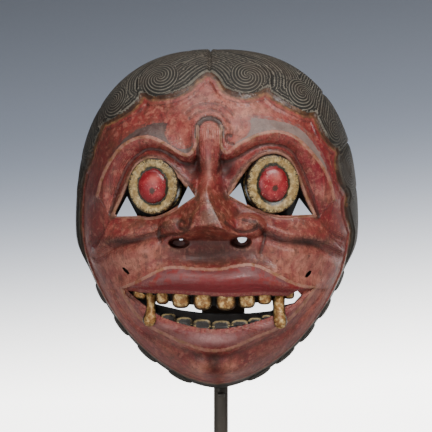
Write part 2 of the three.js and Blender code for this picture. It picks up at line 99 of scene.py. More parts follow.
def spline(points, steps=8):
    """Smooth line through given points, as short straight steps."""
    points = np.asarray(points, float)
    ends = np.vstack([2 * points[0] - points[1], points, 2 * points[-1] - points[-2]])
    share = np.linspace(0, 1, steps, endpoint=False)[:, None]
    pieces = []
    for before, start, end, after in zip(ends, ends[1:], ends[2:], ends[3:]):
        pieces.append(
            start
            + 0.5 * share * (end - before)
            + share**2 * (before - 2.5 * start + 2 * end - 0.5 * after)
            + share**3 * (1.5 * start - 0.5 * before - 1.5 * end + 0.5 * after)
        )
    return np.vstack([*pieces, points[-1:]])


def measure(line, x, y, reach=12.0):
    """Distance to a line and side of it (+1 to its left), for places within reach."""
    distance = np.full(x.shape, reach)
    side = np.ones(x.shape)
    low = line.min(axis=0) - reach
    high = line.max(axis=0) + reach
    near = np.flatnonzero((x > low[0]) & (x < high[0]) & (y > low[1]) & (y < high[1]))
    near_x = x[near]
    near_y = y[near]
    best = np.full(near.shape, reach * reach)
    turn = np.ones(near.shape)
    lengths = np.hypot(*np.diff(line, axis=0).T)
    for start, end, length in zip(line, line[1:], lengths):
        run = (end - start) / max(length, 1e-9)
        ahead = near_x - start[0]
        aside = near_y - start[1]
        along = np.clip(ahead * run[0] + aside * run[1], 0, length)
        off_x = ahead - along * run[0]
        off_y = aside - along * run[1]
        square = off_x * off_x + off_y * off_y
        closer = square < best
        best = np.where(closer, square, best)
        turn = np.where(closer, np.sign(run[0] * aside - run[1] * ahead), turn)
    distance[near] = np.sqrt(best)
    side[near] = turn
    return distance, side


def inside(outline, x, y):
    """True for places inside a closed outline."""
    result = np.zeros(x.shape, bool)
    low = outline.min(axis=0)
    high = outline.max(axis=0)
    near = np.flatnonzero((x > low[0]) & (x < high[0]) & (y > low[1]) & (y < high[1]))
    near_x = x[near]
    near_y = y[near]
    within = np.zeros(near.shape, bool)
    for start, end in zip(outline, np.roll(outline, -1, axis=0)):
        crosses = (start[1] > near_y) != (end[1] > near_y)
        rise = end[1] - start[1]
        at = start[0] + (near_y - start[1]) * (end[0] - start[0]) / (rise if rise else 1e-9)
        within ^= crosses & (near_x < at)
    result[near] = within
    return result


def signed(outline, x, y, reach=12.0):
    """Distance to a closed outline, positive inside it."""
    closed = np.vstack([outline, outline[:1]])
    distance = measure(closed, x, y, reach)[0]
    return np.where(inside(outline, x, y), distance, -distance)


def between(top, bottom):
    """Outline of the area between two lines that run the same way."""
    return np.vstack([top, bottom[::-1]])


def strokes(tones, x, z):
    """Sum of soft humps, each given by its middle, half sizes and strength."""
    total = np.zeros(x.shape)
    for (middle_x, middle_z), (wide, tall), strength in tones:
        total += strength * np.exp(-(((x - middle_x) / wide) ** 2) - ((z - middle_z) / tall) ** 2)
    return total


# The dome and its map.

def outline_radius(phi, inset=0.0):
    """Back edge of the mask: a superellipse, pointed at the chin and fuller at the brow."""
    sine = np.sin(phi)
    power = CHIN_ROUNDNESS + (BROW_ROUNDNESS - CHIN_ROUNDNESS) * smooth(-0.45, 0.55, sine)
    across = np.abs(np.cos(phi) / (HALF_WIDTH - inset)) ** power
    along = np.abs(sine / (HALF_HEIGHT - inset)) ** power
    return (across + along) ** (-1 / power)


def dome_reach(psi, phi, inset=0.0):
    """Distance from the middle of the back to the dome, psi off the front and phi round it."""
    side = (np.sin(psi) / outline_radius(phi, inset)) ** FACE_ROUNDNESS
    front = (np.maximum(np.cos(psi), 0) / (FACE_DEPTH - inset)) ** FACE_ROUNDNESS
    return (side + front) ** (-1 / FACE_ROUNDNESS)


def dome_depth(x, z):
    """Depth of the plain dome in the front view."""
    share = np.hypot(x, z) / outline_radius(np.arctan2(z, x))
    return FACE_DEPTH * np.maximum(1 - share**FACE_ROUNDNESS, 0) ** (1 / FACE_ROUNDNESS)


def to_map(x, depth, z):
    """Place on the hair map, whose two axes are arc lengths out from the middle of the face."""
    psi = np.arctan2(np.hypot(x, z), np.maximum(depth, 0))
    phi = np.arctan2(z, x)
    return MAP_RADIUS * psi * np.cos(phi), MAP_RADIUS * psi * np.sin(phi)


def polar(radius, degrees):
    """Place on the hair map at a distance and angle from the middle of the face."""
    angle = np.radians(degrees)
    return np.column_stack([radius * np.cos(angle), radius * np.sin(angle)])


# Lines of the face, in the front view, all run from the viewer's left to right or from nose to temple.

BROW_CREST = {
    "left": spline([
        (-10.6, 51), (-10.7, 44), (-12.6, 38.6), (-15.8, 35.6), (-20, 36.6), (-25.4, 40), (-31, 43.2),
        (-37, 45.4), (-42.5, 45), (-47.5, 43), (-53, 39), (-59, 30.5), (-63, 22), (-65, 14),
    ]),
    "right": spline([
        (2.2, 51), (1.8, 43), (3.4, 37.8), (6, 37), (10, 40.2), (15.5, 43.3), (22, 46.4), (30.5, 48.3),
        (37, 47.4), (43, 44.8), (49, 39.3), (54.6, 33), (59, 26.5), (62, 19), (63.5, 12),
    ]),
}
BROW_GROOVE = {
    "left": spline([
        (-9.5, 33), (-13, 30.8), (-18.4, 31.6), (-23, 34.4), (-29, 37.9), (-35.5, 39), (-40.5, 37.4),
        (-47.2, 31.5), (-51.6, 23.4), (-55, 14.2), (-58.2, 3.5),
    ]),
    "right": spline([
        (1, 32), (6.5, 32.4), (12.3, 34.8), (18, 38.4), (24, 40.9), (30, 41.4), (36, 40.2), (40.6, 37),
        (44, 31.4), (47.4, 24.8), (50.4, 17), (53, 9.5), (55, 2),
    ]),
}
UPPER_LID = {
    "left": spline([
        (-11.6, 13.6), (-16.8, 19.6), (-22.2, 25.8), (-27.6, 31), (-32.8, 33.7), (-38.2, 33.7),
        (-43.4, 30.4), (-47.4, 23.4), (-50.6, 16.4), (-53.8, 9.4), (-56.8, 2.9),
    ]),
    "right": spline([
        (6.2, 14), (10.4, 21.5), (14.6, 27.4), (19, 32.2), (24.2, 35.8), (29.6, 37), (34.4, 36.4),
        (38.6, 33.8), (42, 28.6), (44.9, 21.8), (48, 13.8), (51, 7.2), (53.4, 3),
    ]),
}
LOWER_LID = {
    "left": spline([
        (-11.6, 13.6), (-17, 9.8), (-22, 6.8), (-26.6, 4.2), (-32, 2.1), (-37.4, 1.5), (-43.2, 2.1),
        (-49.8, 2.2), (-56.8, 2.9),
    ]),
    "right": spline([
        (6.2, 14), (11.2, 10.6), (16, 8.2), (21.4, 5.9), (26.4, 4.1), (31.4, 2.6), (36.8, 2), (42, 2.5),
        (47.4, 3), (53.4, 3),
    ]),
}
BAG_CREST = {
    "left": spline([
        (-20, 1.5), (-25, -0.8), (-30.5, -3.2), (-38, -5.6), (-49.4, -7.9), (-58, -10.8), (-66, -15.5),
    ]),
    "right": spline([
        (14, 1.8), (19, -0.2), (24, -2.2), (30.4, -4.6), (38, -7.3), (49, -8.2), (57, -10.6), (68, -15.5),
    ]),
}
SOCKETS = {side: between(UPPER_LID[side], LOWER_LID[side]) for side in UPPER_LID}
CREST_HEIGHT = 4.6
CREST_FADE = 3.4
CREST_UNDER = 1.2
LID_HEIGHT = 1.4
SOCKET_DEPTH = 9.0
BAG_HEIGHT = 4.0
BAG_HOLLOW = 3.2
EYE_REACH = 16

UPPER_LIP_CREST = spline([
    (-51.5, -36.2), (-46, -34), (-41.5, -31.8), (-36, -29), (-30.6, -26.2), (-25.4, -24.8), (-20, -24.7),
    (-12, -25.5), (-3.8, -25.9), (3.5, -25.4), (10, -24), (17, -23.3), (21.8, -24), (26, -25.8),
    (31.4, -28.6), (37, -31.5), (42.4, -33.9), (48, -35.3), (53, -36),
])
GUM_LINE = spline([
    (-51.5, -36.2), (-46, -37), (-39, -37.8), (-24, -38), (-8, -38.8), (8, -39.6), (24, -38.8),
    (40, -39.4), (47, -37.8), (53, -36),
])
LIP_INNER = spline([
    (-51.5, -36.2), (-49, -38.6), (-45, -42), (-40.5, -45.8), (-36, -49), (-31, -52.2), (-21.4, -55.8),
    (-12, -58), (-1.4, -59.2), (8.5, -58.2), (20, -55.6), (29, -52.6), (36, -48.4), (43, -43), (49, -38.6),
    (53, -36),
])
LOWER_LIP_CREST = spline([
    (-51.5, -36.2), (-49.8, -41.6), (-45, -49), (-40, -54), (-35.4, -57.6), (-28.4, -61), (-22.8, -63.7),
    (-17.4, -65.9), (-12, -68), (-6.5, -69.5), (-1, -69.9), (4.4, -69.3), (9.8, -67.6), (15.2, -65.4),
    (20.6, -62.8), (26.2, -60.6), (31.6, -58.4), (37.4, -54.6), (44.6, -47.6), (50.6, -40), (53, -36),
])
UPPER_LIP = between(UPPER_LIP_CREST, GUM_LINE)
LOWER_LIP = between(LIP_INNER, LOWER_LIP_CREST)
MOUTH_OUTLINE = between(GUM_LINE, LIP_INNER)
MOUTH_DEPTH = 7.0
MOUTH_LEVEL = -37
LIP_REACH = 14
UPPER_LIP_EDGE = 4.2
UPPER_LIP_FULL = 2.6
LOWER_LIP_EDGE = 4.4
LOWER_LIP_FULL = 1.6
UPPER_LIP_TUCK = 1.8
LOWER_LIP_TUCK = 1.6
MOUTH_RIM = 1.8
CHIN_HOLLOW = 1.6
MOUTH_SLOT = [
    (-36, -44.2), (-31, -45.6), (-19, -48.2), (-7.5, -49.6), (4.5, -50), (18, -49.8), (29, -48.8),
    (35, -46), (42, -44.6), (46, -40.4), (43.4, -37.6), (39.4, -39.6), (36, -42.4), (28, -43.2),
    (16, -44.6), (4.8, -45.6), (-7.7, -45.6), (-19.4, -44.6), (-29, -42.6),
]

FOREHEAD_LINES = [
    spline([(-16.5, 58.6), (-12, 62), (-3.8, 63.9), (3.4, 62.2), (8.6, 57.4)]),
    spline([(-14.5, 55.2), (-10, 58.6), (-3.8, 60), (2, 58.4), (6.8, 53)]),
]
FINGER_RIDGE = spline([(-4.1, 48.6), (-4.2, 40), (-4.4, 30)])
FINGER_RADIUS = 5.9
FINGER_HEIGHT = 4.6
FINGER_GROOVE = 1.6
FINGER_REACH = 14
FOREHEAD_DEPTH = 0.35
HOOK_DEPTH = 0.3
NOSE_LEVELS = [54, 42, 33, 24, 17, 10, 4, -1, -5.5]
NOSE_MIDDLES = [-4.2, -4.2, -4.3, -4.0, -5.8, -6.3, -6.2, -5.8, -5.2]
NOSE_HALVES = [4.0, 4.0, 7.0, 9.0, 11.0, 17.0, 22.0, 25.0, 26.0]
NOSE_FLATS = [0.6, 0.6, 0.8, 1.0, 0.6, 2.8, 5.6, 7.6, 9.0]
NOSE_HEIGHTS = [0.0, 0.4, 2.6, 5.6, 13.2, 15.6, 17.2, 18.2, 18.6]
NOSE_RIM = spline([
    (-31, -7.4), (-25.3, -6), (-19.4, -6.2), (-13.5, -3.6), (-8.5, -2.2), (-2.6, -2.4), (3.3, -4.3),
    (9.2, -7), (14.2, -7.9), (19.6, -8.2), (25, -8),
])
NOSE_RIM_ENDS = ((-36, -31), (30, 26))
NOSE_UNDER = -13.5
NOSE_BULGE = 0.5
NOSE_SLOPE = 1.7
WING_BLEND = 0.7
WING_ROUNDNESS = 0.7
WING_GROOVE = 0.7
NOSTRIL_DEPTH = 7.0
WINGS = [
    {"middle": (-22.0, -2.4), "wide": 9.6, "tall": 7.2, "height": 10.0},
    {"middle": (16.6, -2.6), "wide": 10.0, "tall": 7.0, "height": 10.4},
]
WING_GROOVES = [
    spline([
        (-14.2, 0.8), (-14.6, -2.4), (-17.4, -4.4), (-20.4, -3.6), (-21, -1), (-19.2, 0.2), (-17.6, -0.8),
    ]),
    spline([(-15.4, -4.6), (-19.4, -7), (-25, -7), (-30, -8.2)]),
    spline([(4.4, -0.6), (8.4, -4), (12.4, -5.6), (16.8, -5.6), (21.4, -3.6), (20.6, -0.6), (14, 0.8)]),
    spline([(-30.5, -3.3), (-31.4, -7), (-30.4, -11)]),
    spline([(22.6, -2.4), (25.6, -7.5), (24.6, -12.5), (23.5, -16.7)]),
]
NOSTRILS = [
    {"middle": (-20.6, -11.8), "wide": 5.6, "tall": 2.7},
    {"middle": (12.8, -11.3), "wide": 5.6, "tall": 3.3},
]

BROW_PAINT = [
    spline([
        (-25.6, 53.6), (-31, 54), (-36.4, 53.2), (-42, 50.8), (-47.6, 47.8), (-53, 42.9), (-57.6, 35.8),
        (-62.5, 26), (-62.8, 22), (-59, 30.5), (-53, 39), (-47.5, 43), (-42.5, 45), (-37, 45.4), (-31, 43.2),
        (-25.4, 40), (-20, 36.6), (-15.8, 35.6), (-13.6, 37), (-12, 41), (-13.4, 42.6), (-15.6, 40.2),
        (-20, 39.8), (-25, 42.6), (-27.4, 47),
    ], 4),
    spline([
        (17, 57), (24, 56.2), (32, 55.2), (40, 53.2), (45.4, 50.6), (50.5, 46), (55.8, 38.4), (60.6, 28.6),
        (61.6, 22.6), (59, 26.5), (54.6, 33), (49, 39.3), (43, 44.8), (37, 47.4), (30.5, 48.3), (22, 46.4),
        (15.5, 43.3), (10, 40.4), (6.6, 39.6), (7, 41.4), (11, 43.6), (15.6, 47), (17.4, 51.6),
    ], 4),
]
HALO_RADIUS = 6.4
HALO_WIDTH = 1.5
HALO_LOW = 44.0
BROW_HOOK = spline([(8.6, 41.6), (5.8, 42.6), (4.9, 44.6), (6, 46.4), (7.6, 46)])

# Broad forms of the face: middle, half sizes and height of each.
SWELLS = [
    ((0, -43), (47, 24), 8),
    ((-43, -16), (19, 10), 5.5),
    ((43, -16), (19, 10), 5.5),
    ((-34, 17), (21, 17), -5),
    ((30, 18), (21, 17), -5),
    ((0, 50), (45, 22), 4),
    ((1, -80), (20, 11), 6),
    ((-10.5, -80), (8, 5), 2.4),
    ((8.5, -81), (8, 5), 2.4),
    ((-1, -77), (3.5, 6), -2.4),
    ((-3, -20), (20, 6), -5),
    ((-29, -20), (7, 9), -2.2),
    ((27, -20), (7, 9), -2.2),
    ((-13, 27.5), (4.4, 4), -3.4),
    ((5, 27.5), (4, 4), -3.4),
    ((-60, 8), (4, 13), 1.6),
    ((57.5, 14), (3.5, 6), 1.8),
    ((-50, -50), (12, 14), -2),
    ((50, -50), (12, 14), -2),
]


def broad_forms(x, z):
    """Swells and hollows of the face."""
    return strokes(SWELLS, x, z)


def shares_across(oval, x, z):
    """Place in an oval, as shares of its half sizes."""
    return (x - oval["middle"][0]) / oval["wide"], (z - oval["middle"][1]) / oval["tall"]


def nose_forms(x, z):
    """Ridge that widens into a full tip, two wings with their grooves, and a receding underside."""
    levels = [-level for level in NOSE_LEVELS]
    middle = np.interp(-z, levels, NOSE_MIDDLES)
    half = np.interp(-z, levels, NOSE_HALVES)
    flat = np.interp(-z, levels, NOSE_FLATS)
    rise = np.interp(-z, levels, NOSE_HEIGHTS)
    off = np.clip((np.abs(x - middle) - flat) / (half - flat), 0, 1)
    height = rise * (1 - off) ** NOSE_SLOPE * (1 + 0.5 * off)
    height += NOSE_BULGE * smooth(30, 14, z) * np.where(off == 0, 1 - ((x - middle) / flat) ** 2, 0)
    wings = np.zeros(x.shape)
    for wing in WINGS:
        across, along = shares_across(wing, x, z)
        ball = np.maximum(1 - (across**2 + along**2), 0) ** WING_ROUNDNESS
        wings = np.maximum(wings, wing["height"] * ball)
    joined = np.exp(WING_BLEND * height) + np.exp(WING_BLEND * wings)
    height = np.log(joined) / WING_BLEND - math.log(2) / WING_BLEND
    height = np.maximum(height, 0)
    rim_x = NOSE_RIM[:, 0]
    rim_z = np.interp(x, rim_x, NOSE_RIM[:, 1])
    within = smooth(*NOSE_RIM_ENDS[0], x) * smooth(*NOSE_RIM_ENDS[1], x)
    drop = np.clip((rim_z - z) / (rim_z - NOSE_UNDER - 3), 0, 1)
    height *= np.where(z < rim_z, 1 - within * drop**0.8 - (1 - within) * smooth(0, 1, drop), 1)
    for groove in WING_GROOVES:
        height -= WING_GROOVE * bell(measure(groove, x, z, 5)[0], WING_GROOVE)
    for nostril in NOSTRILS:
        height -= NOSTRIL_DEPTH * smooth(1.1, 0.6, np.hypot(*shares_across(nostril, x, z)))
    return height


def eye_forms(x, z, side):
    """Brow crest, its underside, the eyelid, the socket, the lower lid and the bag under the eye."""
    height = np.zeros(x.shape)
    crest = measure(BROW_CREST[side], x, z, EYE_REACH)[0]
    groove = measure(BROW_GROOVE[side], x, z, EYE_REACH)[0]
    upper = measure(UPPER_LID[side], x, z, EYE_REACH)[0]
    lower = measure(LOWER_LID[side], x, z, EYE_REACH)[0]
    bag = measure(BAG_CREST[side], x, z, EYE_REACH)[0]
    brow_zone = inside(between(BROW_CREST[side], BROW_GROOVE[side]), x, z)
    lid_zone = inside(between(BROW_GROOVE[side], UPPER_LID[side]), x, z)
    opening = inside(SOCKETS[side], x, z)
    bag_zone = inside(between(LOWER_LID[side], BAG_CREST[side]), x, z)
    across = crest / (crest + groove + 1e-6)
    height += np.where(brow_zone, CREST_HEIGHT * (1 - across**1.6) - CREST_UNDER * across**2, 0)
    over = ~(brow_zone | lid_zone | opening | bag_zone)
    height += np.where(over, CREST_HEIGHT * np.exp(-crest / CREST_FADE), 0)
    rise = groove / (groove + upper + 1e-6)
    height += np.where(lid_zone, -CREST_UNDER + (LID_HEIGHT + CREST_UNDER) * smooth(0, 0.9, rise), 0)
    height += np.where(opening, LID_HEIGHT - SOCKET_DEPTH * smooth(0, 0.9, np.minimum(upper, lower)), 0)
    down = lower / (lower + bag + 1e-6)
    off_nose = smooth(14, 38, np.abs(x + 4.5))
    height += np.where(bag_zone, (0.4 + 3.6 * smooth(0, 1, down)) * off_nose, 0)
    below = over & (z < 6) & (bag < 15)
    fold = BAG_HEIGHT * np.exp(-bag / 1.1) - BAG_HOLLOW * bell(bag - 3.4, 2.8)
    height += np.where(below, fold * off_nose, 0)
    return height


def mouth_forms(x, z):
    """Both lips with their crisp edges, and the dark recess that holds the teeth."""
    height = np.zeros(x.shape)
    top = measure(UPPER_LIP_CREST, x, z, LIP_REACH)[0]
    gum = measure(GUM_LINE, x, z, LIP_REACH)[0]
    inner = measure(LIP_INNER, x, z, LIP_REACH)[0]
    low = measure(LOWER_LIP_CREST, x, z, LIP_REACH)[0]
    upper_lip = inside(UPPER_LIP, x, z)
    recess = inside(MOUTH_OUTLINE, x, z)
    lower_lip = inside(LOWER_LIP, x, z) & ~recess
    across = top / (top + gum + 1e-6)
    fullness = np.sin(np.pi * np.minimum(across * 1.1, 1))
    height += np.where(upper_lip, UPPER_LIP_EDGE + UPPER_LIP_FULL * fullness - UPPER_LIP_TUCK * across**3, 0)
    across = low / (low + inner + 1e-6)
    fullness = np.sin(np.pi * across)
    height += np.where(lower_lip, LOWER_LIP_EDGE + LOWER_LIP_FULL * fullness - LOWER_LIP_TUCK * across**2, 0)
    height += np.where(recess, MOUTH_RIM - MOUTH_DEPTH * smooth(0, MOUTH_RIM, np.minimum(gum, inner)), 0)
    skin = ~(upper_lip | lower_lip | recess)
    over = skin & (z > MOUTH_LEVEL)
    height += np.where(over, UPPER_LIP_EDGE * np.exp(-top / 4.6), 0)
    under = skin & (z <= MOUTH_LEVEL)
    height += np.where(under, LOWER_LIP_EDGE * np.exp(-low / 1.5) - CHIN_HOLLOW * bell(low - 3.2, 2.6), 0)
    return height


def small_forms(x, z):
    """Finger ridge between the brows, wrinkles, and the folds at the temples."""
    away = measure(FINGER_RIDGE, x, z, FINGER_REACH)[0]
    fade = smooth(24, 34, z)
    height = FINGER_HEIGHT * (1 - smooth(1.2, FINGER_RADIUS, away)) ** 0.7 * fade
    height -= FINGER_GROOVE * bell(away - FINGER_RADIUS - 0.6, 1.1) * fade
    for line in FOREHEAD_LINES:
        height -= FOREHEAD_DEPTH * bell(measure(line, x, z, 4)[0], 0.7)
    height -= HOOK_DEPTH * bell(measure(BROW_HOOK, x, z, 4)[0], 0.5)
    return height


def face_relief(x, z):
    """Height of everything carved on the face, along the view, fading out at the side walls."""
    height = broad_forms(x, z)
    height = np.maximum(height, 0.75 * height) + nose_forms(x, z)
    height += eye_forms(x, z, "left") + eye_forms(x, z, "right")
    height += mouth_forms(x, z) + small_forms(x, z)
    share = np.hypot(x, z) / outline_radius(np.arctan2(z, x))
    return height * (1 - smooth(0.90, 0.985, share))


# Hair and beard, on the hair map.

PARTING_A = -4.2
STRAND = 1.7
HAIR_HEIGHT = 1.55
LOCK_HEIGHT = 1.4
BEARD_HEIGHT = 1.5
PARTING_DEPTH = 1.4
LEDGE = 2.4
LEDGE_HEIGHT = 0.75
CURL_RADIUS = (5.0, 11.5)

LEFT_BORDERS = [
    [(-4.5, 82), (-7.6, 79.8), (-10.7, 76.8), (-14, 73.2), (-17.3, 70.6), (-21.8, 68.4), (-27.4, 67.2),
     (-32, 66.9), (-36.5, 67.6), (-40, 70)],
    [(-41.8, 69.4), (-43, 66.4), (-46, 63.4), (-49.8, 61.2), (-55.2, 59.6), (-62.7, 58.2), (-67.6, 58.4)],
    [(-69.6, 57), (-72, 54), (-74.6, 50.6), (-77.2, 45.4), (-79.4, 40.7), (-84.9, 36), (-90, 34.6)],
]
RIGHT_BORDERS = [
    [(-4, 82), (-1.7, 80), (0.5, 77), (2.4, 73.4), (5, 70.4), (8.9, 68.5), (14.5, 67.5), (20.1, 68),
     (24.4, 69.8)],
    [(27.4, 71.4), (29.8, 68.4), (33, 65.9), (38.2, 63.3), (44.1, 61), (49.1, 59.6), (53.4, 60.2)],
    [(55.4, 61), (57.2, 57), (60.6, 51.2), (64.7, 47.4), (69.9, 44.6), (74, 44.2)],
    [(75, 42.4), (73.4, 38), (72.8, 34.4), (75, 27), (79.4, 21.6), (85, 18.6)],
    [(86.4, 16.8), (84, 11), (85.6, 5), (89.4, -1.6), (93.4, -7.2)],
]
BAND_RADIUS = 99.0
JAW = polar(BAND_RADIUS, np.linspace(180, 338, 40))
FACE_OUTLINE = np.vstack(
    [spline(border, 5) for border in LEFT_BORDERS]
    + [[(-96, 24), (-98.6, 12)]]
    + [JAW]
    + [spline(border, 5)[::-1] for border in reversed(RIGHT_BORDERS)]
)

LEFT_LOCKS = [
    {"divider": [(PARTING_A, 120), (PARTING_A, 84)], "border": 0, "middle": (-31.5, 78.4), "turn": -1},
    {"divider": [(-10, 118), (-19, 105), (-30, 98), (-40, 91.4), (-45.4, 83), (-44.6, 74)], "border": 1,
     "middle": (-60.4, 69.4), "turn": -1},
    {"divider": [(-80, 92), (-78, 84), (-76.4, 74), (-74.6, 65), (-73.4, 58.6)], "border": 2,
     "middle": (-85.2, 47.6), "turn": -1},
    {"divider": [(-112, 58), (-104, 54), (-98, 47), (-94.4, 40)], "border": None,
     "middle": (-101.5, 24), "turn": -1},
]
RIGHT_LOCKS = [
    {"divider": [(PARTING_A, 120), (PARTING_A, 84)], "border": 0, "middle": (16.6, 78.4), "turn": 1},
    {"divider": [(-3, 112), (5, 102), (15, 95.6), (24.4, 89.6), (30, 82), (29.6, 74)], "border": 1,
     "middle": (47.6, 70.6), "turn": 1},
    {"divider": [(78, 96), (70, 86), (64.4, 77), (60.6, 69), (58, 61.6)], "border": 2,
     "middle": (71.4, 53.6), "turn": 1},
    {"divider": [(108, 66), (97, 60), (88.4, 53.6), (81.6, 47.6), (77, 42.6)], "border": 3,
     "middle": (88.6, 32.4), "turn": 1},
    {"divider": [(118, 34), (109, 29.6), (100.4, 24), (92.4, 18.6)], "border": 4,
     "middle": (101.4, 6.4), "turn": 1},
]
RIGHT_FIRST = 10
BEARD_FIRST = 20
LOCK_ARMS = 5
BEARD_RADIUS = 108.6
BEARD_CURL = 8.8
BEARD_DEGREES = {
    "left": [212, 227.5, 242, 256.5],
    "right": [334, 321, 309, 297, 285.5],
}


def lock_stem(lock, borders):
    """Line along which a lock falls, from the top of its divider down its border."""
    divider = [tuple(p) for p in lock["divider"]]
    if lock["border"] is None:
        return spline(divider + [(lock["middle"][0] + 5, lock["middle"][1] + 9)], 6)
    border = borders[lock["border"]]
    return spline(border if lock["border"] == 0 else divider + border[1:], 6)


def lock_zones(a, b):
    """Number of the lock that each place of the hair belongs to: left ones from 0, right ones from 10."""
    zones = np.zeros(a.shape, int)
    left = a < PARTING_A
    for locks, borders, half, first in (
        (LEFT_LOCKS, LEFT_BORDERS, left, 0), (RIGHT_LOCKS, RIGHT_BORDERS, ~left, RIGHT_FIRST),
    ):
        number = np.full(a.shape, first)
        for lock in locks[1:]:
            start = [] if lock["border"] is None else borders[lock["border"]][1:3]
            side = measure(spline(lock["divider"] + start, 6), a, b, 400)[1]
            number += side * (1 if first else -1) > 0
        zones = np.where(half, number, zones)
    for side, first in (("left", BEARD_FIRST), ("right", BEARD_FIRST + RIGHT_FIRST)):
        for number, degrees in enumerate(BEARD_DEGREES[side]):
            middle = polar(BEARD_RADIUS, degrees)[0]
            zones = np.where(np.hypot(a - middle[0], b - middle[1]) < BEARD_CURL, first + number, zones)
    return zones


def all_locks():
    """Every lock and beard curl by its number."""
    locks = dict(enumerate(LEFT_LOCKS))
    locks.update({RIGHT_FIRST + number: lock for number, lock in enumerate(RIGHT_LOCKS)})
    for side, first, turn in (("left", BEARD_FIRST, -1), ("right", BEARD_FIRST + RIGHT_FIRST, 1)):
        for number, degrees in enumerate(BEARD_DEGREES[side]):
            middle = tuple(polar(BEARD_RADIUS, degrees)[0])
            locks[first + number] = {"middle": middle, "turn": turn}
    return locks


def hair_lines():
    """Dividers and borders, which every strand outside the curls runs beside."""
    lines = [spline(lock["divider"], 6) for lock in (*LEFT_LOCKS[1:], *RIGHT_LOCKS[1:])]
    return [*lines, np.vstack([FACE_OUTLINE, FACE_OUTLINE[:1]])]


def curl_reach():
    """Radius of each lock's curl: as far as the border, and less for those at the sides."""
    reach = {}
    for number, lock in all_locks().items():
        middle = np.asarray(lock["middle"], float)[:, None]
        inside_hair = -signed(FACE_OUTLINE, middle[0], middle[1], 60)[0]
        reach[number] = BEARD_CURL if is_beard(number) else np.clip(inside_hair, *CURL_RADIUS)
    return reach


def is_beard(number):
    """True for the curls of the beard."""
    return BEARD_FIRST <= number


def curl_zones(a, b):
    """Number of the curl that each place lies in, or -1."""
    zones = np.full(a.shape, -1)
    locks = all_locks()
    for number, reach in curl_reach().items():
        middle = locks[number]["middle"]
        zones = np.where(np.hypot(a - middle[0], b - middle[1]) < reach, number, zones)
    return zones


def strand_flow(a, b, zones):
    """Place across the strands inside the curls, where they wind into the middle."""
    flow = np.zeros(a.shape)
    locks = all_locks()
    for number, reach in curl_reach().items():
        chosen = zones == number
        lock = locks[number]
        off_a = a[chosen] - lock["middle"][0]
        off_b = b[chosen] - lock["middle"][1]
        sink = lock["turn"] * LOCK_ARMS * STRAND * np.arctan2(off_b, off_a) / (2 * math.pi)
        flow[chosen] = reach - np.hypot(off_a, off_b) - sink
    return flow


def hair_fullness(a, b, edge):
    """How full the locks are: round over each stem and high in the middle of each curl."""
    full = 1 - np.exp(-np.abs(edge) / 2.5)
    zones = np.where(edge > -0.5, lock_zones(a, b), -1)
    locks = all_locks()
    for number, lock in locks.items():
        chosen = zones == number
        if not chosen.any():
            continue
        spot_a = a[chosen]
        spot_b = b[chosen]
        away = np.hypot(spot_a - lock["middle"][0], spot_b - lock["middle"][1])
        if is_beard(number):
            full[chosen] = 0.1 + 0.9 * np.maximum(1 - (away / BEARD_CURL) ** 2, 0) ** 0.4
            continue
        borders = RIGHT_BORDERS if number >= RIGHT_FIRST else LEFT_BORDERS
        to_stem = measure(lock_stem(lock, borders), spot_a, spot_b, 60)[0]
        stem_full = 1 - np.exp(-to_stem / 2.6) + 0.3 * bell(away, 5.5)
        full[chosen] = 0.1 + (stem_full - 0.1) * smooth(-40, -10, spot_b)
    return np.where(edge > -0.5, full, 0)


def hair_relief(a, b):
    """Height of the hair over the dome, and distance into it."""
    edge = -signed(FACE_OUTLINE, a, b, 60)
    fullness = hair_fullness(a, b, edge)
    beard = smooth(-14, -46, b)
    locks = (1 - beard) * (HAIR_HEIGHT + LOCK_HEIGHT * fullness)
    body = smooth(0, 1.6, edge) * (locks + beard * BEARD_HEIGHT * fullness)
    parting = PARTING_DEPTH * bell(a - PARTING_A, 0.9) * (b > 0) * smooth(0, 2, edge)
    ledge = LEDGE_HEIGHT * smooth(-LEDGE - 0.5, -LEDGE + 0.5, edge) * (edge < 1.8)
    ledge *= smooth(-70, -40, b) * 0.7 + 0.3
    return np.maximum(body - parting, ledge), edge


# Meshes.

RIM_FADE = 0.1
HOLLOW_BEHIND = 2.0
GOUGE_SEED = 7
GOUGE_CUTS = 320
GOUGE_RADIUS = 9
GOUGE_STRETCH = 1.6
GOUGE_DEPTH = 0.9
GOUGE_CURVE = 0.012


def new_object(name, points, faces):
    """Object from points in millimetres on the mask and a list of faces."""
    mesh = bpy.data.meshes.new(name)
    placed = np.asarray(points) * MM + np.asarray(MASK_MIDDLE)
    mesh.from_pydata(placed.tolist(), [], faces)
    mesh.update()
    piece = bpy.data.objects.new(name, mesh)
    bpy.context.scene.collection.objects.link(piece)
    return piece


def disc_grid(steps, radius):
    """Square grid bent onto a disc, and the quads and rim of that grid."""
    line = np.linspace(-1, 1, steps + 1)
    s, t = np.meshgrid(line, line)
    a = radius * s * np.sqrt(1 - t * t / 2)
    b = radius * t * np.sqrt(1 - s * s / 2)
    side = steps + 1
    low = np.arange(steps)
    corner = (low[:, None] * side + low[None, :]).ravel()
    quads = np.column_stack([corner, corner + 1, corner + side + 1, corner + side])
    rim = np.concatenate([low, low * side + steps, steps * side + steps - low, (steps - low) * side])
    return a.ravel(), b.ravel(), quads, rim


def dome_grid(steps, inset, raised):
    """Grid over the dome, raised by a function of the hair map."""
    a, b, quads, rim = disc_grid(steps, MAP_RIM)
    psi = np.minimum(np.hypot(a, b) / MAP_RADIUS, math.pi / 2)
    phi = np.arctan2(b, a)
    reach = dome_reach(psi, phi, inset) + raised(a, b)
    x = reach * np.sin(psi) * np.cos(phi)
    z = reach * np.sin(psi) * np.sin(phi)
    return SimpleNamespace(x=x, z=z, depth=reach * np.cos(psi), a=a, b=b, psi=psi, quads=quads, rim=rim)


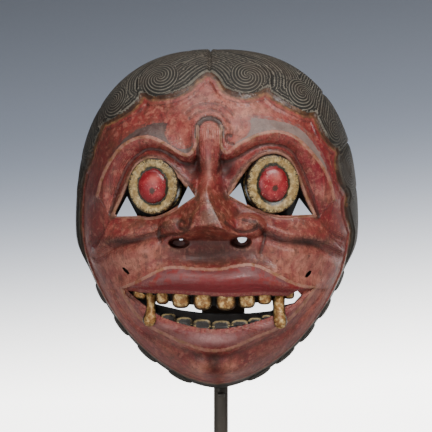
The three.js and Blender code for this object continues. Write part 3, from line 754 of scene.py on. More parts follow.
def close_behind(points, grid, name, middle):
    """Closed object from a dome and a fan of faces across its back."""
    hub = len(points)
    points = np.vstack([points, [middle]])
    after = np.roll(grid.rim, -1)
    fan = np.column_stack([after, grid.rim, np.full(grid.rim.shape, hub)])
    faces = grid.quads.tolist() + fan.tolist()
    return new_object(name, points, faces)


def carved_shell(steps):
    """Outside of the mask, closed by a flat back."""
    grid = dome_grid(steps, 0.0, lambda a, b: hair_relief(a, b)[0])
    grid.depth += face_relief(grid.x, grid.z) * smooth(math.pi / 2, math.pi / 2 - RIM_FADE, grid.psi)
    grid.depth[grid.rim] = 0
    return close_behind(np.column_stack([grid.x, -grid.depth, grid.z]), grid, "mask", (0, 0, 0))


def hollow_surface(x, z, reach_depth):
    """Depth of the inside of the mask, which follows the outside loosely."""
    forms = broad_forms(x, z) + 0.55 * np.maximum(nose_forms(x, z), 0)
    share = np.hypot(x, z) / outline_radius(np.arctan2(z, x), WALL)
    return reach_depth + 0.6 * forms * (1 - smooth(0.7, 0.97, share))


def hollow_cutter(steps):
    """Solid that hollows the mask, with the facets that a gouge leaves."""
    grid = dome_grid(steps, WALL, lambda a, b: 0.0)
    depth = hollow_surface(grid.x, grid.z, grid.depth)
    random = np.random.default_rng(GOUGE_SEED)
    seeds = polar(MAP_RIM * np.sqrt(random.random(GOUGE_CUTS)), 360 * random.random(GOUGE_CUTS))
    closest = np.full(grid.a.shape, float(GOUGE_RADIUS))
    for seed_a, seed_b in seeds:
        away = np.hypot((grid.a - seed_a) * GOUGE_STRETCH, grid.b - seed_b)
        closest = np.minimum(closest, away)
    depth += GOUGE_DEPTH - GOUGE_CURVE * closest**2
    points = np.column_stack([grid.x, HOLLOW_BEHIND - depth, grid.z])
    points[grid.rim, 1] = HOLLOW_BEHIND
    return close_behind(points, grid, "hollow", (0, HOLLOW_BEHIND, 0))


def prism(outline, front, back):
    """Straight-sided solid through the wall, from an outline in the front view."""
    outline = np.asarray(outline, float)
    area = np.sum(outline[:, 0] * np.roll(outline[:, 1], -1) - outline[:, 1] * np.roll(outline[:, 0], -1))
    if area < 0:
        outline = outline[::-1]
    count = len(outline)
    near = np.column_stack([outline[:, 0], np.full(count, -front), outline[:, 1]])
    far = near.copy()
    far[:, 1] = -back
    faces = [list(range(count)), list(range(2 * count - 1, count - 1, -1))]
    for corner in range(count):
        following = (corner + 1) % count
        faces.append([corner, corner + count, following + count, following])
    return np.vstack([near, far]), faces


def merged(name, solids, material):
    """One object of one material from several solids that don't touch."""
    points = []
    faces = []
    start = 0
    for solid_points, solid_faces in solids:
        points.append(solid_points)
        faces += [[corner + start for corner in face] for face in solid_faces]
        start += len(solid_points)
    piece = new_object(name, np.vstack(points), faces)
    piece.data.materials.append(material)
    return piece


def apply_modifiers(piece):
    """Gives a piece the mesh that its modifiers make, in place of its own."""
    depsgraph = bpy.context.evaluated_depsgraph_get()
    depsgraph.update()
    result = bpy.data.meshes.new_from_object(piece.evaluated_get(depsgraph), depsgraph=depsgraph)
    if len(result.polygons) == 0:
        raise RuntimeError(f"nothing is left of {piece.name}")
    piece.modifiers.clear()
    old = piece.data
    piece.data = result
    bpy.data.meshes.remove(old)


def boolean(piece, tool, operation):
    """Joins a solid to the piece or cuts it away, keeping both materials, and removes the tool."""
    modifier = piece.modifiers.new(operation, "BOOLEAN")
    modifier.operation = operation
    modifier.solver = "MANIFOLD"
    modifier.material_mode = "TRANSFER"
    modifier.object = tool
    apply_modifiers(piece)
    bpy.data.objects.remove(tool)


# Eyes, teeth and fangs.

EYES = {
    "left": {"x": -35.2, "z": 18.8, "radius": 13.9, "lean": 14, "front": 65.5},
    "right": {"x": 30.8, "z": 20.0, "radius": 14.6, "lean": -13, "front": 65.5},
}
EYE_LENGTH = 18.0
IRIS_SHARE = 0.6
EYE_TALL = 1.09


def stitched(rings, start, end, outward):
    """Closed solid from rings of points and a point at each end, its faces turned by the rings' sense."""
    segments = len(rings[0])
    points = np.vstack([*rings, [start], [end]])
    first = len(points) - 2
    faces = []
    for corner in range(segments):
        following = (corner + 1) % segments
        one, two = (following, corner) if outward else (corner, following)
        faces.append([first, one, two])
        for low in range(0, (len(rings) - 1) * segments, segments):
            faces.append([low + two, low + one, low + segments + one, low + segments + two])
        last = (len(rings) - 1) * segments
        faces.append([last + two, last + one, first + 1])
    return points, faces


def turned(profile, segments):
    """Lathe-turned solid with its axis along -Y, from (radius, height) pairs."""
    angle = np.linspace(0, 2 * math.pi, segments, endpoint=False)
    rings = [
        np.column_stack([radius * np.cos(angle), np.full(segments, -height), radius * np.sin(angle)])
        for radius, height in profile[1:-1]
    ]
    return stitched(rings, [0, -profile[0][1], 0], [0, -profile[-1][1], 0], True)


def eye_profile(radius):
    """Outline of a disc eye: straight wall, rounded rim, dished ring and domed iris."""
    iris = radius * IRIS_SHARE
    outline = [(0, 0), (radius - 1.2, 0), (radius - 0.6, EYE_LENGTH - 8), (radius, EYE_LENGTH - 4.2)]
    for share in np.linspace(0, 1, 7):
        angle = share * math.pi / 2
        outline.append((radius - 1.6 + 1.6 * math.cos(angle), EYE_LENGTH - 3.4 + 1.4 * math.sin(angle)))
    for share in np.linspace(0.15, 1, 8):
        outline.append((radius - 1.6 - (radius - 2.4 - iris) * share, EYE_LENGTH - 2.0 - 0.5 * share))
    outline.append((iris + 0.2, EYE_LENGTH - 3.1))
    for share in np.linspace(0, 1, 12)[:-1]:
        angle = share * math.pi / 2
        outline.append((iris * math.cos(angle), EYE_LENGTH - 2.9 + 3.2 * math.sin(angle)))
    outline.append((0, EYE_LENGTH + 0.3))
    return outline


def eye_solid(eye):
    """Disc eye in its socket, leaning outward."""
    points, faces = turned(eye_profile(eye["radius"]), 96)
    points[:, 2] *= EYE_TALL
    points[:, 1] += EYE_LENGTH
    angle = math.radians(eye["lean"])
    x = points[:, 0] * math.cos(angle) + points[:, 1] * math.sin(angle)
    y = -points[:, 0] * math.sin(angle) + points[:, 1] * math.cos(angle)
    points[:, 0] = x + eye["x"]
    points[:, 1] = y - eye["front"]
    points[:, 2] += eye["z"]
    return points, faces


TOOTH_STEPS = 20
TOOTH_POWER = 3.0
TOOTH_ROOT = 8.0
UPPER_CROWN = 3.0
LOWER_CROWN = 2.2
FANG_LEVELS = 18
FANG_SEGMENTS = 24
FANG_INSET = 3.4
FANG_BEND = 2.2
FANG_DEEP = 1.15
FANG_TIP = 0.9
UPPER_TEETH = [
    {"x": -41.5, "width": 8.4, "top": -36.4, "bottom": -42.2, "lean": -20},
    {"x": -29.4, "width": 7.3, "top": -37, "bottom": -45},
    {"x": -19.4, "width": 9.8, "top": -37, "bottom": -46.9},
    {"x": -7.7, "width": 10.1, "top": -37, "bottom": -47.9},
    {"x": 4.8, "width": 10.7, "top": -37.6, "bottom": -48},
    {"x": 16, "width": 9.3, "top": -37.6, "bottom": -46.9},
    {"x": 25.5, "width": 7.9, "top": -37.6, "bottom": -45},
    {"x": 39, "width": 5.8, "top": -37, "bottom": -42.2},
]
LOWER_TEETH = [
    {"x": -26.2, "width": 8.6, "top": -49.8, "bottom": -55},
    {"x": -17.6, "width": 9.6, "top": -51.6, "bottom": -58},
    {"x": -8, "width": 10.2, "top": -52.6, "bottom": -59.8},
    {"x": 2.2, "width": 10.6, "top": -53.2, "bottom": -61},
    {"x": 12.2, "width": 10.2, "top": -53, "bottom": -59.8},
    {"x": 20.6, "width": 8.2, "top": -52, "bottom": -57.8},
    {"x": 27, "width": 6, "top": -50.6, "bottom": -55},
]
FANGS = [
    {"x": -35.6, "top": -38.2, "tip": -57, "width": [3.2, 2.7, 2.5, 3.0, 4.2, 2.6], "slide": -1.0},
    {"x": 33.2, "top": -38.2, "tip": -58, "width": [3.8, 3.5, 3.2, 3.5, 4.1, 2.8], "slide": 1.2},
]


def depth_at(forms, x, z):
    """Depth of the dome with some forms on it, at one place of the front view."""
    x = np.atleast_1d(float(x))
    z = np.atleast_1d(float(z))
    return float((dome_depth(x, z) + forms(x, z))[0])


def pillow(tooth, depth, front):
    """Tooth: a squared-off pillow with a full front, as a bent grid closed behind."""
    half = tooth["width"] / 2
    tall = (tooth["top"] - tooth["bottom"]) / 2
    x = tooth["x"]
    z = tooth["bottom"] + tall
    u, v, quads, rim = disc_grid(TOOTH_STEPS, 1)
    away = np.hypot(u, v)
    angle = np.arctan2(v, u)
    square = np.abs(np.cos(angle)) ** TOOTH_POWER + np.abs(np.sin(angle)) ** TOOTH_POWER
    edge = square ** (-1 / TOOTH_POWER)
    u = u * edge
    v = v * edge
    crown = depth * np.sqrt(np.maximum(1 - away**4, 0))
    turn = math.radians(tooth.get("lean", 0))
    place_x = x + half * (u * math.cos(turn) - v * math.sin(turn) * tall / half)
    place_z = z + tall * (v * math.cos(turn) + u * math.sin(turn) * half / tall)
    front_points = np.column_stack([place_x, -(front - depth + crown), place_z])
    back_points = front_points[rim].copy()
    back_points[:, 1] += TOOTH_ROOT
    start = len(front_points)
    hub = start + len(rim)
    points = np.vstack([front_points, back_points, [[x, -(front - depth) + TOOTH_ROOT, z]]])
    faces = quads.tolist()
    for place in range(len(rim)):
        following = (place + 1) % len(rim)
        faces.append([int(rim[following]), int(rim[place]), start + place, start + following])
        faces.append([start + following, start + place, hub])
    return points, faces


def upper_tooth(tooth):
    """Gold upper tooth, rooted behind the gum line."""
    return pillow(tooth, UPPER_CROWN, depth_at(broad_forms, tooth["x"], -42) + 0.4)


def lower_tooth(tooth):
    """Dark lower tooth, in low relief on the wall behind the lower lip."""
    return pillow(tooth, LOWER_CROWN, depth_at(broad_forms, tooth["x"], tooth["bottom"]) + 0.6)


def fang_solid(fang):
    """Fang: a post with a waist that passes over the lower lip."""
    rings = []
    angle = np.linspace(0, 2 * math.pi, FANG_SEGMENTS, endpoint=False)
    lip = depth_at(broad_forms, fang["x"], -46)
    for level in range(FANG_LEVELS + 1):
        share = level / FANG_LEVELS
        z = fang["top"] + (fang["tip"] - fang["top"]) * share
        radius = np.interp(share, np.linspace(0, 1, 6), fang["width"])
        radius *= math.sqrt(max(1 - max((share - FANG_TIP) / 0.1, 0) ** 2 * 0.9, 0.05))
        middle_x = fang["x"] + fang["slide"] * share * share
        front = lip + 1.2 + FANG_BEND * smooth(0.3, FANG_TIP, share)
        rings.append(np.column_stack([
            middle_x + radius * np.cos(angle),
            -(front - FANG_INSET) - FANG_DEEP * radius * np.sin(angle),
            np.full(FANG_SEGMENTS, z),
        ]))
    return stitched(rings, rings[0].mean(axis=0), rings[-1].mean(axis=0), False)


HOLE_FRONT = 110
HOLE_BACK = 20
EYE_HOLES = [
    [(-54.8, 2.6), (-43.2, 2.8), (-49.0, 13.6)],
    [(-15.6, 19.0), (-21.4, 7.0), (-11.9, 13.4)],
    [(6.6, 13.8), (16.2, 8.6), (12.6, 20.6)],
    [(44.6, 12.6), (40.6, 3.2), (51.6, 3.6)],
]
SLIT_DEPTH = 5.0
CHEEK_SLITS = [
    [(-51.4, -25.2), (-50.2, -25), (-48.2, -26.6), (-47.2, -28.4), (-48, -28.8), (-50, -27.4)],
    [(47.6, -30.4), (49, -30.4), (50.8, -28.4), (51.2, -26.8), (50, -26.8), (48.2, -28.4)],
]
NOSTRIL_HOLES = [
    [(-20.6, -9.6), (-18.2, -9.6), (-18.6, -10.2), (-20, -10.4)],
    [(10.9, -9), (13.4, -8.6), (16.2, -9), (15.8, -10.4), (14.6, -11.5), (13, -11.8), (11.6, -10.8)],
]


def carve_mask(steps, hollow_steps, finishes):
    """The whole mask as one closed mesh."""
    piece = carved_shell(steps)
    piece.data.materials.append(finishes["lacquer"])
    hollow = hollow_cutter(hollow_steps)
    hollow.data.materials.append(finishes["hollow"])
    boolean(piece, hollow, "DIFFERENCE")
    outlines = [*EYE_HOLES, MOUTH_SLOT, *NOSTRIL_HOLES]
    holes = [prism(outline, HOLE_FRONT, HOLE_BACK) for outline in outlines]
    for outline in CHEEK_SLITS:
        x, z = np.mean(outline, axis=0)
        holes.append(prism(outline, HOLE_FRONT, depth_at(face_relief, x, z) - SLIT_DEPTH))
    boolean(piece, merged("holes", holes, finishes["soot"]), "DIFFERENCE")
    joined = [
        ("eyes", [eye_solid(eye) for eye in EYES.values()], "eyes"),
        ("upper_teeth", [upper_tooth(tooth) for tooth in UPPER_TEETH], "gilding"),
        ("lower_teeth", [lower_tooth(tooth) for tooth in LOWER_TEETH], "dark_teeth"),
        ("fangs", [fang_solid(fang) for fang in FANGS], "gilding"),
    ]
    for name, solids, finish in joined:
        boolean(piece, merged(name, solids, finishes[finish]), "UNION")
    return piece


def thin_out(piece, triangles):
    """Reduces the mesh to a number of triangles, keeping its shape."""
    count = sum(len(polygon.vertices) - 2 for polygon in piece.data.polygons)
    if count <= triangles:
        return
    modifier = piece.modifiers.new("thin_out", "DECIMATE")
    modifier.ratio = triangles / count
    apply_modifiers(piece)


# Paint masks, measured at each point of the finished mesh.

WORN_LINES = [
    *BROW_CREST.values(), *UPPER_LID.values(), *LOWER_LID.values(), UPPER_LIP_CREST, LOWER_LIP_CREST,
]
FINGER_SIDES = [
    spline([(-10.2, 48), (-10.6, 40), (-10.2, 33), (-9, 27)]),
    spline([(2.2, 48), (2.4, 40), (1.6, 33), (0.4, 26)]),
    spline([(-10.2, 48), (-9, 52.6), (-4.2, 54.8), (0.8, 52.6), (2.2, 48)]),
]
# Dark lines in the grooves: partly dirt, partly painted shade in the creases under the brows, round the nose
# wings and beside the finger ridge.
DARK_LINES = [*BROW_GROOVE.values(), BROW_HOOK, *WING_GROOVES, *FINGER_SIDES]
FOREHEAD_MARKS = [*FOREHEAD_LINES, spline([(-12, 51), (-8.6, 55.4), (-3.9, 56.8), (1.2, 55), (4.8, 50)])]
LIP_SPLIT = spline([(-50, -36), (-41.6, -34.6), (-20, -32.6), (0.5, -32.8), (24, -32.8), (44.8, -35)])

# Tones of the old lacquer, among them painted sheen, painted shade and painted highlights: middle, half sizes
# and strength of each stroke.
# Rosy strokes: faded pink lacquer, and painted sheen on the cheeks, the forehead's right side, the chin lumps
# and the finger ridge.
ROSY_AND_SHEEN = [
    ((18, 62), (28, 12), 0.55), ((-6, 66), (22, 10), 0.2), ((13, 52), (9, 9), 0.6), ((-22, 46), (8, 8), 0.45),
    ((-47, -22), (16, 11), 1.1), ((46, -22), (16, 11), 1.05), ((-4, 46), (5, 8), 0.5),
    ((-60, 8), (4, 10), 0.3), ((58, 15), (4, 4), 0.8), ((-52, -44), (9, 14), 0.5), ((52, -42), (9, 14), 0.5),
    ((-10.5, -80), (5, 4.5), 1.2), ((8, -81), (5, 4.5), 1.2), ((-4.6, 24), (2.4, 6), 0.6),
    ((20, -27.6), (18, 3), 0.3), ((-35, 44), (12, 3), 0.3), ((-26, -68), (9, 6), 0.4),
    ((26, -68), (9, 6), 0.35),
]
UMBER = [
    ((-4, 1), (19, 11), 0.8), ((-38, -2), (20, 5.5), 0.8), ((38, -3), (20, 5.5), 0.55),
    ((-27, -22), (11, 8), 0.7), ((27, -24), (11, 9), 0.9), ((0, -20), (24, 7), 0.6),
    ((-43, -34), (12, 5), 0.6), ((44, -34), (12, 5), 0.6), ((-30, 60), (20, 6), 0.4),
    ((-25, -74), (12, 7), 0.3), ((22, -76), (12, 7), 0.3), ((-22, 0), (9, 6), 0.4), ((20, 0), (9, 6), 0.3),
    ((-58, 42), (12, 14), 0.5), ((-14, 66), (12, 6), 0.4), ((-5, 7), (7, 8), 0.9),
]
# Deep red strokes: deeper red paint on the lips and the finger ridge, and painted shade under the brows,
# under the nose, below the eye bags and at the sides of the face.
DEEP_RED_AND_SHADE = [
    ((-40, 30), (14, 12), 0.6), ((36, 33), (16, 10), 0.8), ((56, 12), (7, 18), 0.8), ((5, 20), (6, 12), 0.8),
    ((-16, 34), (7, 5), 0.7), ((-68, 0), (9, 40), 0.6), ((68, -5), (9, 40), 0.5), ((-34, -70), (14, 12), 0.4),
    ((36, -68), (14, 12), 0.4), ((-4, 38), (4, 10), 0.3), ((0, -6), (12, 4), 0.7), ((58, 36), (8, 14), 0.7),
    ((0, -32), (17, 4), 0.9), ((52, -14), (14, 4), 0.6), ((-52, -12), (12, 4), 0.5),
]
# Strokes of painted shade in the philtrum, under the nostrils, below the eye bags, under the lower lip,
# beside the nose's root and at the sides of the face, with a real dark mark in the chin's dimple.
SHADE_AND_GRIME = [
    ((0, -18), (22, 5), 0.6), ((-1, -79), (3.4, 8), 0.7), ((-70, 22), (8, 32), 0.6),
    ((-14, 27), (4.5, 6), 0.6), ((6, 27), (4.5, 6), 0.7), ((-52, -10.8), (13, 2.6), 1.0),
    ((50, -11.2), (13, 2.8), 1.0), ((-60, 42), (8, 14), 0.35), ((-36, -63), (10, 3), 0.4),
    ((0, -73.4), (26, 2.2), 0.4), ((36, -62), (10, 3), 0.35), ((-20.5, -14), (8, 4), 0.5),
    ((13, -14.5), (9, 4.5), 0.6), ((70, 5), (6, 40), 0.3), ((-66, -30), (7, 20), 0.35),
]
# Painted highlights: the middle of the lower lip, the nose's apex, the upper lip's crest, the nose's bridge
# and the lower lip's corners.
SHINE = [
    ((-3, -63.6), (16, 3.0), 1.0), ((-6.4, 13.8), (1.2, 1.2), 0.7), ((-8, -29), (24, 1.0), 0.3),
    ((-4.6, 30), (1.6, 7), 0.4), ((-27, -57), (7, 1.6), 0.4), ((27, -56.4), (7, 1.6), 0.4),
]


TONES = {"rosy_and_sheen": ROSY_AND_SHEEN, "umber": UMBER, "deep_red_and_shade": DEEP_RED_AND_SHADE, "shade_and_grime": SHADE_AND_GRIME, "shine": SHINE}

# Lines and areas that the paint follows, and how far from them their distances are measured.
LINE_REACH = 5
LID_REACH = 6
AREA_REACH = 6
LINE_HOLD = 0.6
FACE_FRONT = 12
LINE_MASKS = {
    "worn": (WORN_LINES, LINE_REACH),
    "groove": (DARK_LINES, LINE_REACH),
    "mark": (FOREHEAD_MARKS, LINE_REACH),
    "lid": (UPPER_LID.values(), LID_REACH),
}
AREA_MASKS = {
    "socket": SOCKETS.values(),
    "mouth": [MOUTH_OUTLINE],
    "upper_lip": [UPPER_LIP],
    "lip_red": [between(LIP_SPLIT, GUM_LINE)],
    "lower_lip": [LOWER_LIP],
}
# Distance of the shadow line under the hair's ledge from the hair.
LEDGE_SHADOW = 3.3


def nearest(lines, x, z, reach):
    """Distance to the nearest of several lines, negative on its right."""
    result = np.full(x.shape, float(reach))
    for line in lines:
        distance, side = measure(line, x, z, reach)
        result = np.where(distance < np.abs(result), side * distance, result)
    return result


def area_distance(outlines, x, z):
    """Distance into the nearest of several outlines."""
    return np.maximum.reduce([signed(outline, x, z, AREA_REACH) for outline in outlines])


def brow_distance(x, z):
    """Distance into the painted brows and the halo over the finger ridge."""
    halo = HALO_WIDTH - np.abs(measure(FINGER_RIDGE, x, z, FINGER_REACH)[0] - HALO_RADIUS)
    halo = np.where(z > HALO_LOW, np.minimum(halo, z - HALO_LOW), -AREA_REACH)
    return np.maximum(area_distance(BROW_PAINT, x, z), halo)


def eye_masks(x, depth, z):
    """Place on the disc of each eye, as shares of its radius."""
    masks = {"eye_u": np.full(x.shape, 2.0), "eye_v": np.full(x.shape, 2.0)}
    for eye in EYES.values():
        turn = math.radians(eye["lean"])
        off_x = x - eye["x"]
        off_y = eye["front"] - depth
        across = (off_x * math.cos(turn) - off_y * math.sin(turn)) / eye["radius"]
        along = (z - eye["z"]) / (eye["radius"] * EYE_TALL)
        near = np.hypot(across, along) < 1.6
        masks["eye_u"] = np.where(near, across, masks["eye_u"])
        masks["eye_v"] = np.where(near, along, masks["eye_v"])
    return masks


def paint_masks(points):
    """All masks that the paint needs, at points in millimetres on the mask."""
    x = points[:, 0]
    depth = -points[:, 1]
    z = points[:, 2]
    front = depth > FACE_FRONT
    masks = {"hair": np.clip(hair_relief(*to_map(x, depth, z))[1], -12, 40)}
    for name, (lines, reach) in LINE_MASKS.items():
        masks[name] = np.where(front, nearest(lines, x, z, reach), reach)
        masks[name + "_off"] = np.abs(masks[name])
    masks["brow"] = np.where(front, brow_distance(x, z), -AREA_REACH)
    for name, outlines in AREA_MASKS.items():
        masks[name] = np.where(front, area_distance(outlines, x, z), -AREA_REACH)
    # Strand crests: worn paint, and painted light that is stronger towards the top and the viewer's right,
    # where the key light comes from, and weaker at the sides and the back edge.
    rubbing_and_light = 0.3 + 0.5 * smooth(-45, 30, z) + 0.2 * smooth(-10, 40, x)
    masks["rubbing_and_light"] = rubbing_and_light * smooth(0.3, 2.0, depth) * (1 - 0.7 * smooth(50, 74, np.abs(x)))
    for name, tones in TONES.items():
        masks[name] = np.clip(strokes(tones, x, z), 0, 1)
    masks.update(eye_masks(x, depth, z))
    return masks


RASTER = 0.5
RASTER_MARGIN = 8
# Fine and broad edges: the radii of the two blurs that each is the difference of.
EDGE_BLURS = {"edge_fine": (0.4, 1.3), "edge_broad": (1.0, 4.5)}


def blurred(field, radius):
    """Field blurred by a radius in millimetres."""
    rows = np.fft.fftfreq(field.shape[0], RASTER)[:, None]
    columns = np.fft.rfftfreq(field.shape[1], RASTER)[None, :]
    damping = np.exp(-2 * (math.pi * radius) ** 2 * (rows**2 + columns**2))
    return np.fft.irfft2(np.fft.rfft2(field) * damping, field.shape)


def edge_masks(x, z):
    """How much each place of the face stands out of, or lies below, its surroundings, fine and broad."""
    across = np.arange(-HALF_WIDTH - RASTER_MARGIN, HALF_WIDTH + RASTER_MARGIN, RASTER)
    up = np.arange(-HALF_HEIGHT - RASTER_MARGIN, HALF_HEIGHT + RASTER_MARGIN, RASTER)
    grid_x, grid_z = np.meshgrid(across, up)
    depth = dome_depth(grid_x.ravel(), grid_z.ravel()) + face_relief(grid_x.ravel(), grid_z.ravel())
    depth = depth.reshape(grid_x.shape)
    column = np.clip((x - across[0]) / RASTER, 0, len(across) - 1.001)
    row = np.clip((z - up[0]) / RASTER, 0, len(up) - 1.001)
    left = column.astype(int)
    low = row.astype(int)
    share_x = column - left
    share_z = row - low
    result = {}
    for name, (small, large) in EDGE_BLURS.items():
        field = blurred(depth, small) - blurred(depth, large)
        bottom = field[low, left] * (1 - share_x) + field[low, left + 1] * share_x
        top = field[low + 1, left] * (1 - share_x) + field[low + 1, left + 1] * share_x
        result[name] = bottom * (1 - share_z) + top * share_z
    return result


def tooth_mask(x, z):
    """Share of the way from the middle of the nearest tooth to its outline."""
    share = np.full(x.shape, 2.0)
    for tooth in (*UPPER_TEETH, *LOWER_TEETH):
        tall = (tooth["top"] - tooth["bottom"]) / 2
        across = np.abs(x - tooth["x"]) / (tooth["width"] / 2)
        along = np.abs(z - tooth["bottom"] - tall) / tall
        share = np.minimum(share, (across**3 + along**3) ** (1 / 3))
    for fang in FANGS:
        down = np.clip((fang["top"] - z) / (fang["top"] - fang["tip"]), 0, 1)
        radius = np.interp(down, np.linspace(0, 1, 6), fang["width"])
        share = np.minimum(share, np.abs(x - fang["x"] - fang["slide"] * down * down) / radius)
    return share


def store(mesh, name, domain, values):
    """Keeps a number on each point or corner of a mesh."""
    attribute = mesh.attributes.new(name, "FLOAT", domain)
    attribute.data.foreach_set("value", values.astype(np.float32))


def write_masks(piece):
    """Stores the masks on the mesh for the materials to read."""
    mesh = piece.data
    places = np.empty(3 * len(mesh.vertices))
    mesh.vertices.foreach_get("co", places)
    points = (places.reshape(-1, 3) - np.asarray(MASK_MIDDLE)) / MM
    masks = paint_masks(points)
    masks.update(edge_masks(points[:, 0], points[:, 2]))
    masks["tooth"] = tooth_mask(points[:, 0], points[:, 2])
    for name, values in masks.items():
        store(mesh, name, "POINT", values)
    write_strands(mesh, points)


def write_strands(mesh, points):
    """Stores the place across the strands on the corners of each face, unbroken within the face."""
    corners = np.empty(len(mesh.loops), int)
    mesh.loops.foreach_get("vertex_index", corners)
    starts = np.empty(len(mesh.polygons), int)
    totals = np.empty(len(mesh.polygons), int)
    mesh.polygons.foreach_get("loop_start", starts)
    mesh.polygons.foreach_get("loop_total", totals)
    a, b = to_map(points[:, 0], -points[:, 1], points[:, 2])
    first = np.repeat(corners[starts], totals)
    zones = curl_zones(a, b)[first]
    beside = np.abs(nearest(hair_lines(), a, b, 70))
    flow = np.where(zones >= 0, strand_flow(a[corners], b[corners], zones), beside[corners])
    start_flow = np.repeat(flow[starts], totals)
    jump = LOCK_ARMS * STRAND
    flow -= np.where(zones >= 0, jump * np.round((flow - start_flow) / jump), 0)
    store(mesh, "flow", "CORNER", flow)


# Shader nodes.

def linear(red, green, blue):
    """Linear colour from 0 to 255 screen values."""
    channels = []
    for value in (red, green, blue):
        share = value / 255
        channels.append(share / 12.92 if share <= 0.04045 else ((share + 0.055) / 1.055) ** 2.4)
    return (*channels, 1.0)


class Sheet:
    """Node tree with short calls for the nodes that the finishes use."""

    def __init__(self, tree):
        self.tree = tree

    def feed(self, socket, value):
        """Links an output to a socket, or sets a plain value on it."""
        if isinstance(value, bpy.types.NodeSocket):
            self.tree.links.new(value, socket)
        else:
            socket.default_value = value

    def node(self, kind, values=None, **settings):
        """New node with its settings and input values."""
        made = self.tree.nodes.new(kind)
        for name, value in settings.items():
            setattr(made, name, value)
        for name, value in (values or {}).items():
            self.feed(made.inputs[name], value)
        return made

    def combine(self, operation, *values):
        """Result of one arithmetic step."""
        made = self.node("ShaderNodeMath", operation=operation)
        for place, value in enumerate(values):
            self.feed(made.inputs[place], value)
        return made.outputs[0]

    def times(self, value, factor):
        """Product of two values."""
        return self.combine("MULTIPLY", value, factor)

    def plus(self, value, other):
        """Sum of two values."""
        return self.combine("ADD", value, other)

    def larger(self, value, other):
        """Larger of two values."""
        return self.combine("MAXIMUM", value, other)

    def length(self, across, along):
        """Length of a pair of values."""
        return self.combine("SQRT", self.plus(self.times(across, across), self.times(along, along)))

    def step(self, value, low, high, to_low=0.0, to_high=1.0):
        """Value mapped smoothly from one range to another and held at its ends."""
        names = ("Value", "From Min", "From Max", "To Min", "To Max")
        values = dict(zip(names, (value, low, high, to_low, to_high)))
        return self.node("ShaderNodeMapRange", values, interpolation_type="SMOOTHSTEP").outputs["Result"]

    def step_around(self, value, level, softness, to_low=0.0, to_high=1.0):
        """Smooth step across a level, as wide as twice the softness."""
        low = self.combine("SUBTRACT", level, softness)
        return self.step(value, low, self.plus(level, softness), to_low, to_high)

    def mix(self, share, under, over):
        """Two colours mixed by a share."""
        made = self.node("ShaderNodeMix", data_type="RGBA")
        for place, value in ((0, share), (6, under), (7, over)):
            self.feed(made.inputs[place], value)
        return made.outputs[2]

    def coats(self, colour, *layers):
        """Colour under layers, each given by its share, its strength and its own colour."""
        for share, strength, over in layers:
            colour = self.mix(share if strength == 1 else self.times(share, strength), colour, over)
        return colour

    def mask(self, name):
        """One of the masks stored on the mesh."""
        return self.node("ShaderNodeAttribute", attribute_name=name).outputs["Fac"]

    def line(self, name):
        """Distance to the nearest line of one mask: a signed one, held off where only its sign changes."""
        off = self.combine("SUBTRACT", self.mask(name + "_off"), LINE_HOLD)
        return self.larger(self.combine("ABSOLUTE", self.mask(name)), off)

    def facing(self, axis):
        """How far the surface faces along one axis."""
        normal = self.node("ShaderNodeNewGeometry").outputs["Normal"]
        return self.node("ShaderNodeSeparateXYZ", {0: normal}).outputs[axis]

    def millimetres(self, stretch=(1.0, 1.0, 1.0)):
        """Place on the object in millimetres, stretched along its axes."""
        place = self.node("ShaderNodeTexCoord").outputs["Object"]
        scale = [share / MM for share in stretch]
        return self.node("ShaderNodeMapping", {"Vector": place, "Scale": scale}).outputs[0]

    def divided(self, place, size):
        """Place divided by a feature size."""
        made = self.node("ShaderNodeVectorMath", {0: place}, operation="SCALE")
        self.feed(made.inputs["Scale"], self.combine("DIVIDE", 1.0, size))
        return made.outputs[0]

    def noise(self, size, detail=3.0, roughness=0.55, distortion=0.0, place=None):
        """Soft noise with a feature size in millimetres."""
        values = {
            "Vector": self.millimetres() if place is None else place, "Scale": 1 / size,
            "Detail": detail, "Roughness": roughness, "Distortion": distortion,
        }
        return self.node("ShaderNodeTexNoise", values).outputs[0]

    def group(self, name, **values):
        """Copy of a shared effect with its own values."""
        made = self.node("ShaderNodeGroup", node_tree=bpy.data.node_groups[name])
        for key, value in values.items():
            self.feed(made.inputs[key.capitalize()], value)
        return made.outputs

    def mottle(self, **values):
        """Cloudy patches."""
        return self.group("Mottle", **values)["Mask"]

    def edge(self, distance, **values):
        """Area within a distance, with a worn edge."""
        return self.group("Ragged edge", distance=distance, **values)["Mask"]

    def area(self, name, **values):
        """Inside of one mask's outline, with a worn edge."""
        return self.edge(self.times(self.mask(name), -1.0), **values)


def new_effect(name, inputs, outputs):
    """Empty shared effect with named number inputs and outputs."""
    tree = bpy.data.node_groups.new(name, "ShaderNodeTree")
    for label, value in inputs.items():
        socket = tree.interface.new_socket(label, in_out="INPUT", socket_type="NodeSocketFloat")
        socket.default_value = value
    for label in outputs:
        tree.interface.new_socket(label, in_out="OUTPUT", socket_type="NodeSocketFloat")
    sheet = Sheet(tree)
    return sheet, sheet.node("NodeGroupInput").outputs, sheet.node("NodeGroupOutput").inputs


def ragged_edge_effect():
    """Area within a distance, with a worn, uneven edge."""
    inputs = {"Distance": 0, "Reach": 1, "Softness": 0.3, "Wander": 0.4, "Grain": 1.5}
    sheet, given, result = new_effect("Ragged edge", inputs, ["Mask"])
    noise = sheet.noise(1.0, roughness=0.62, place=sheet.divided(sheet.millimetres(), given["Grain"]))
    shift = sheet.times(sheet.combine("SUBTRACT", noise, 0.5), sheet.times(given["Wander"], 4.0))
    moved = sheet.plus(given["Distance"], shift)
    sheet.feed(result["Mask"], sheet.step_around(moved, given["Reach"], given["Softness"], 1.0, 0.0))


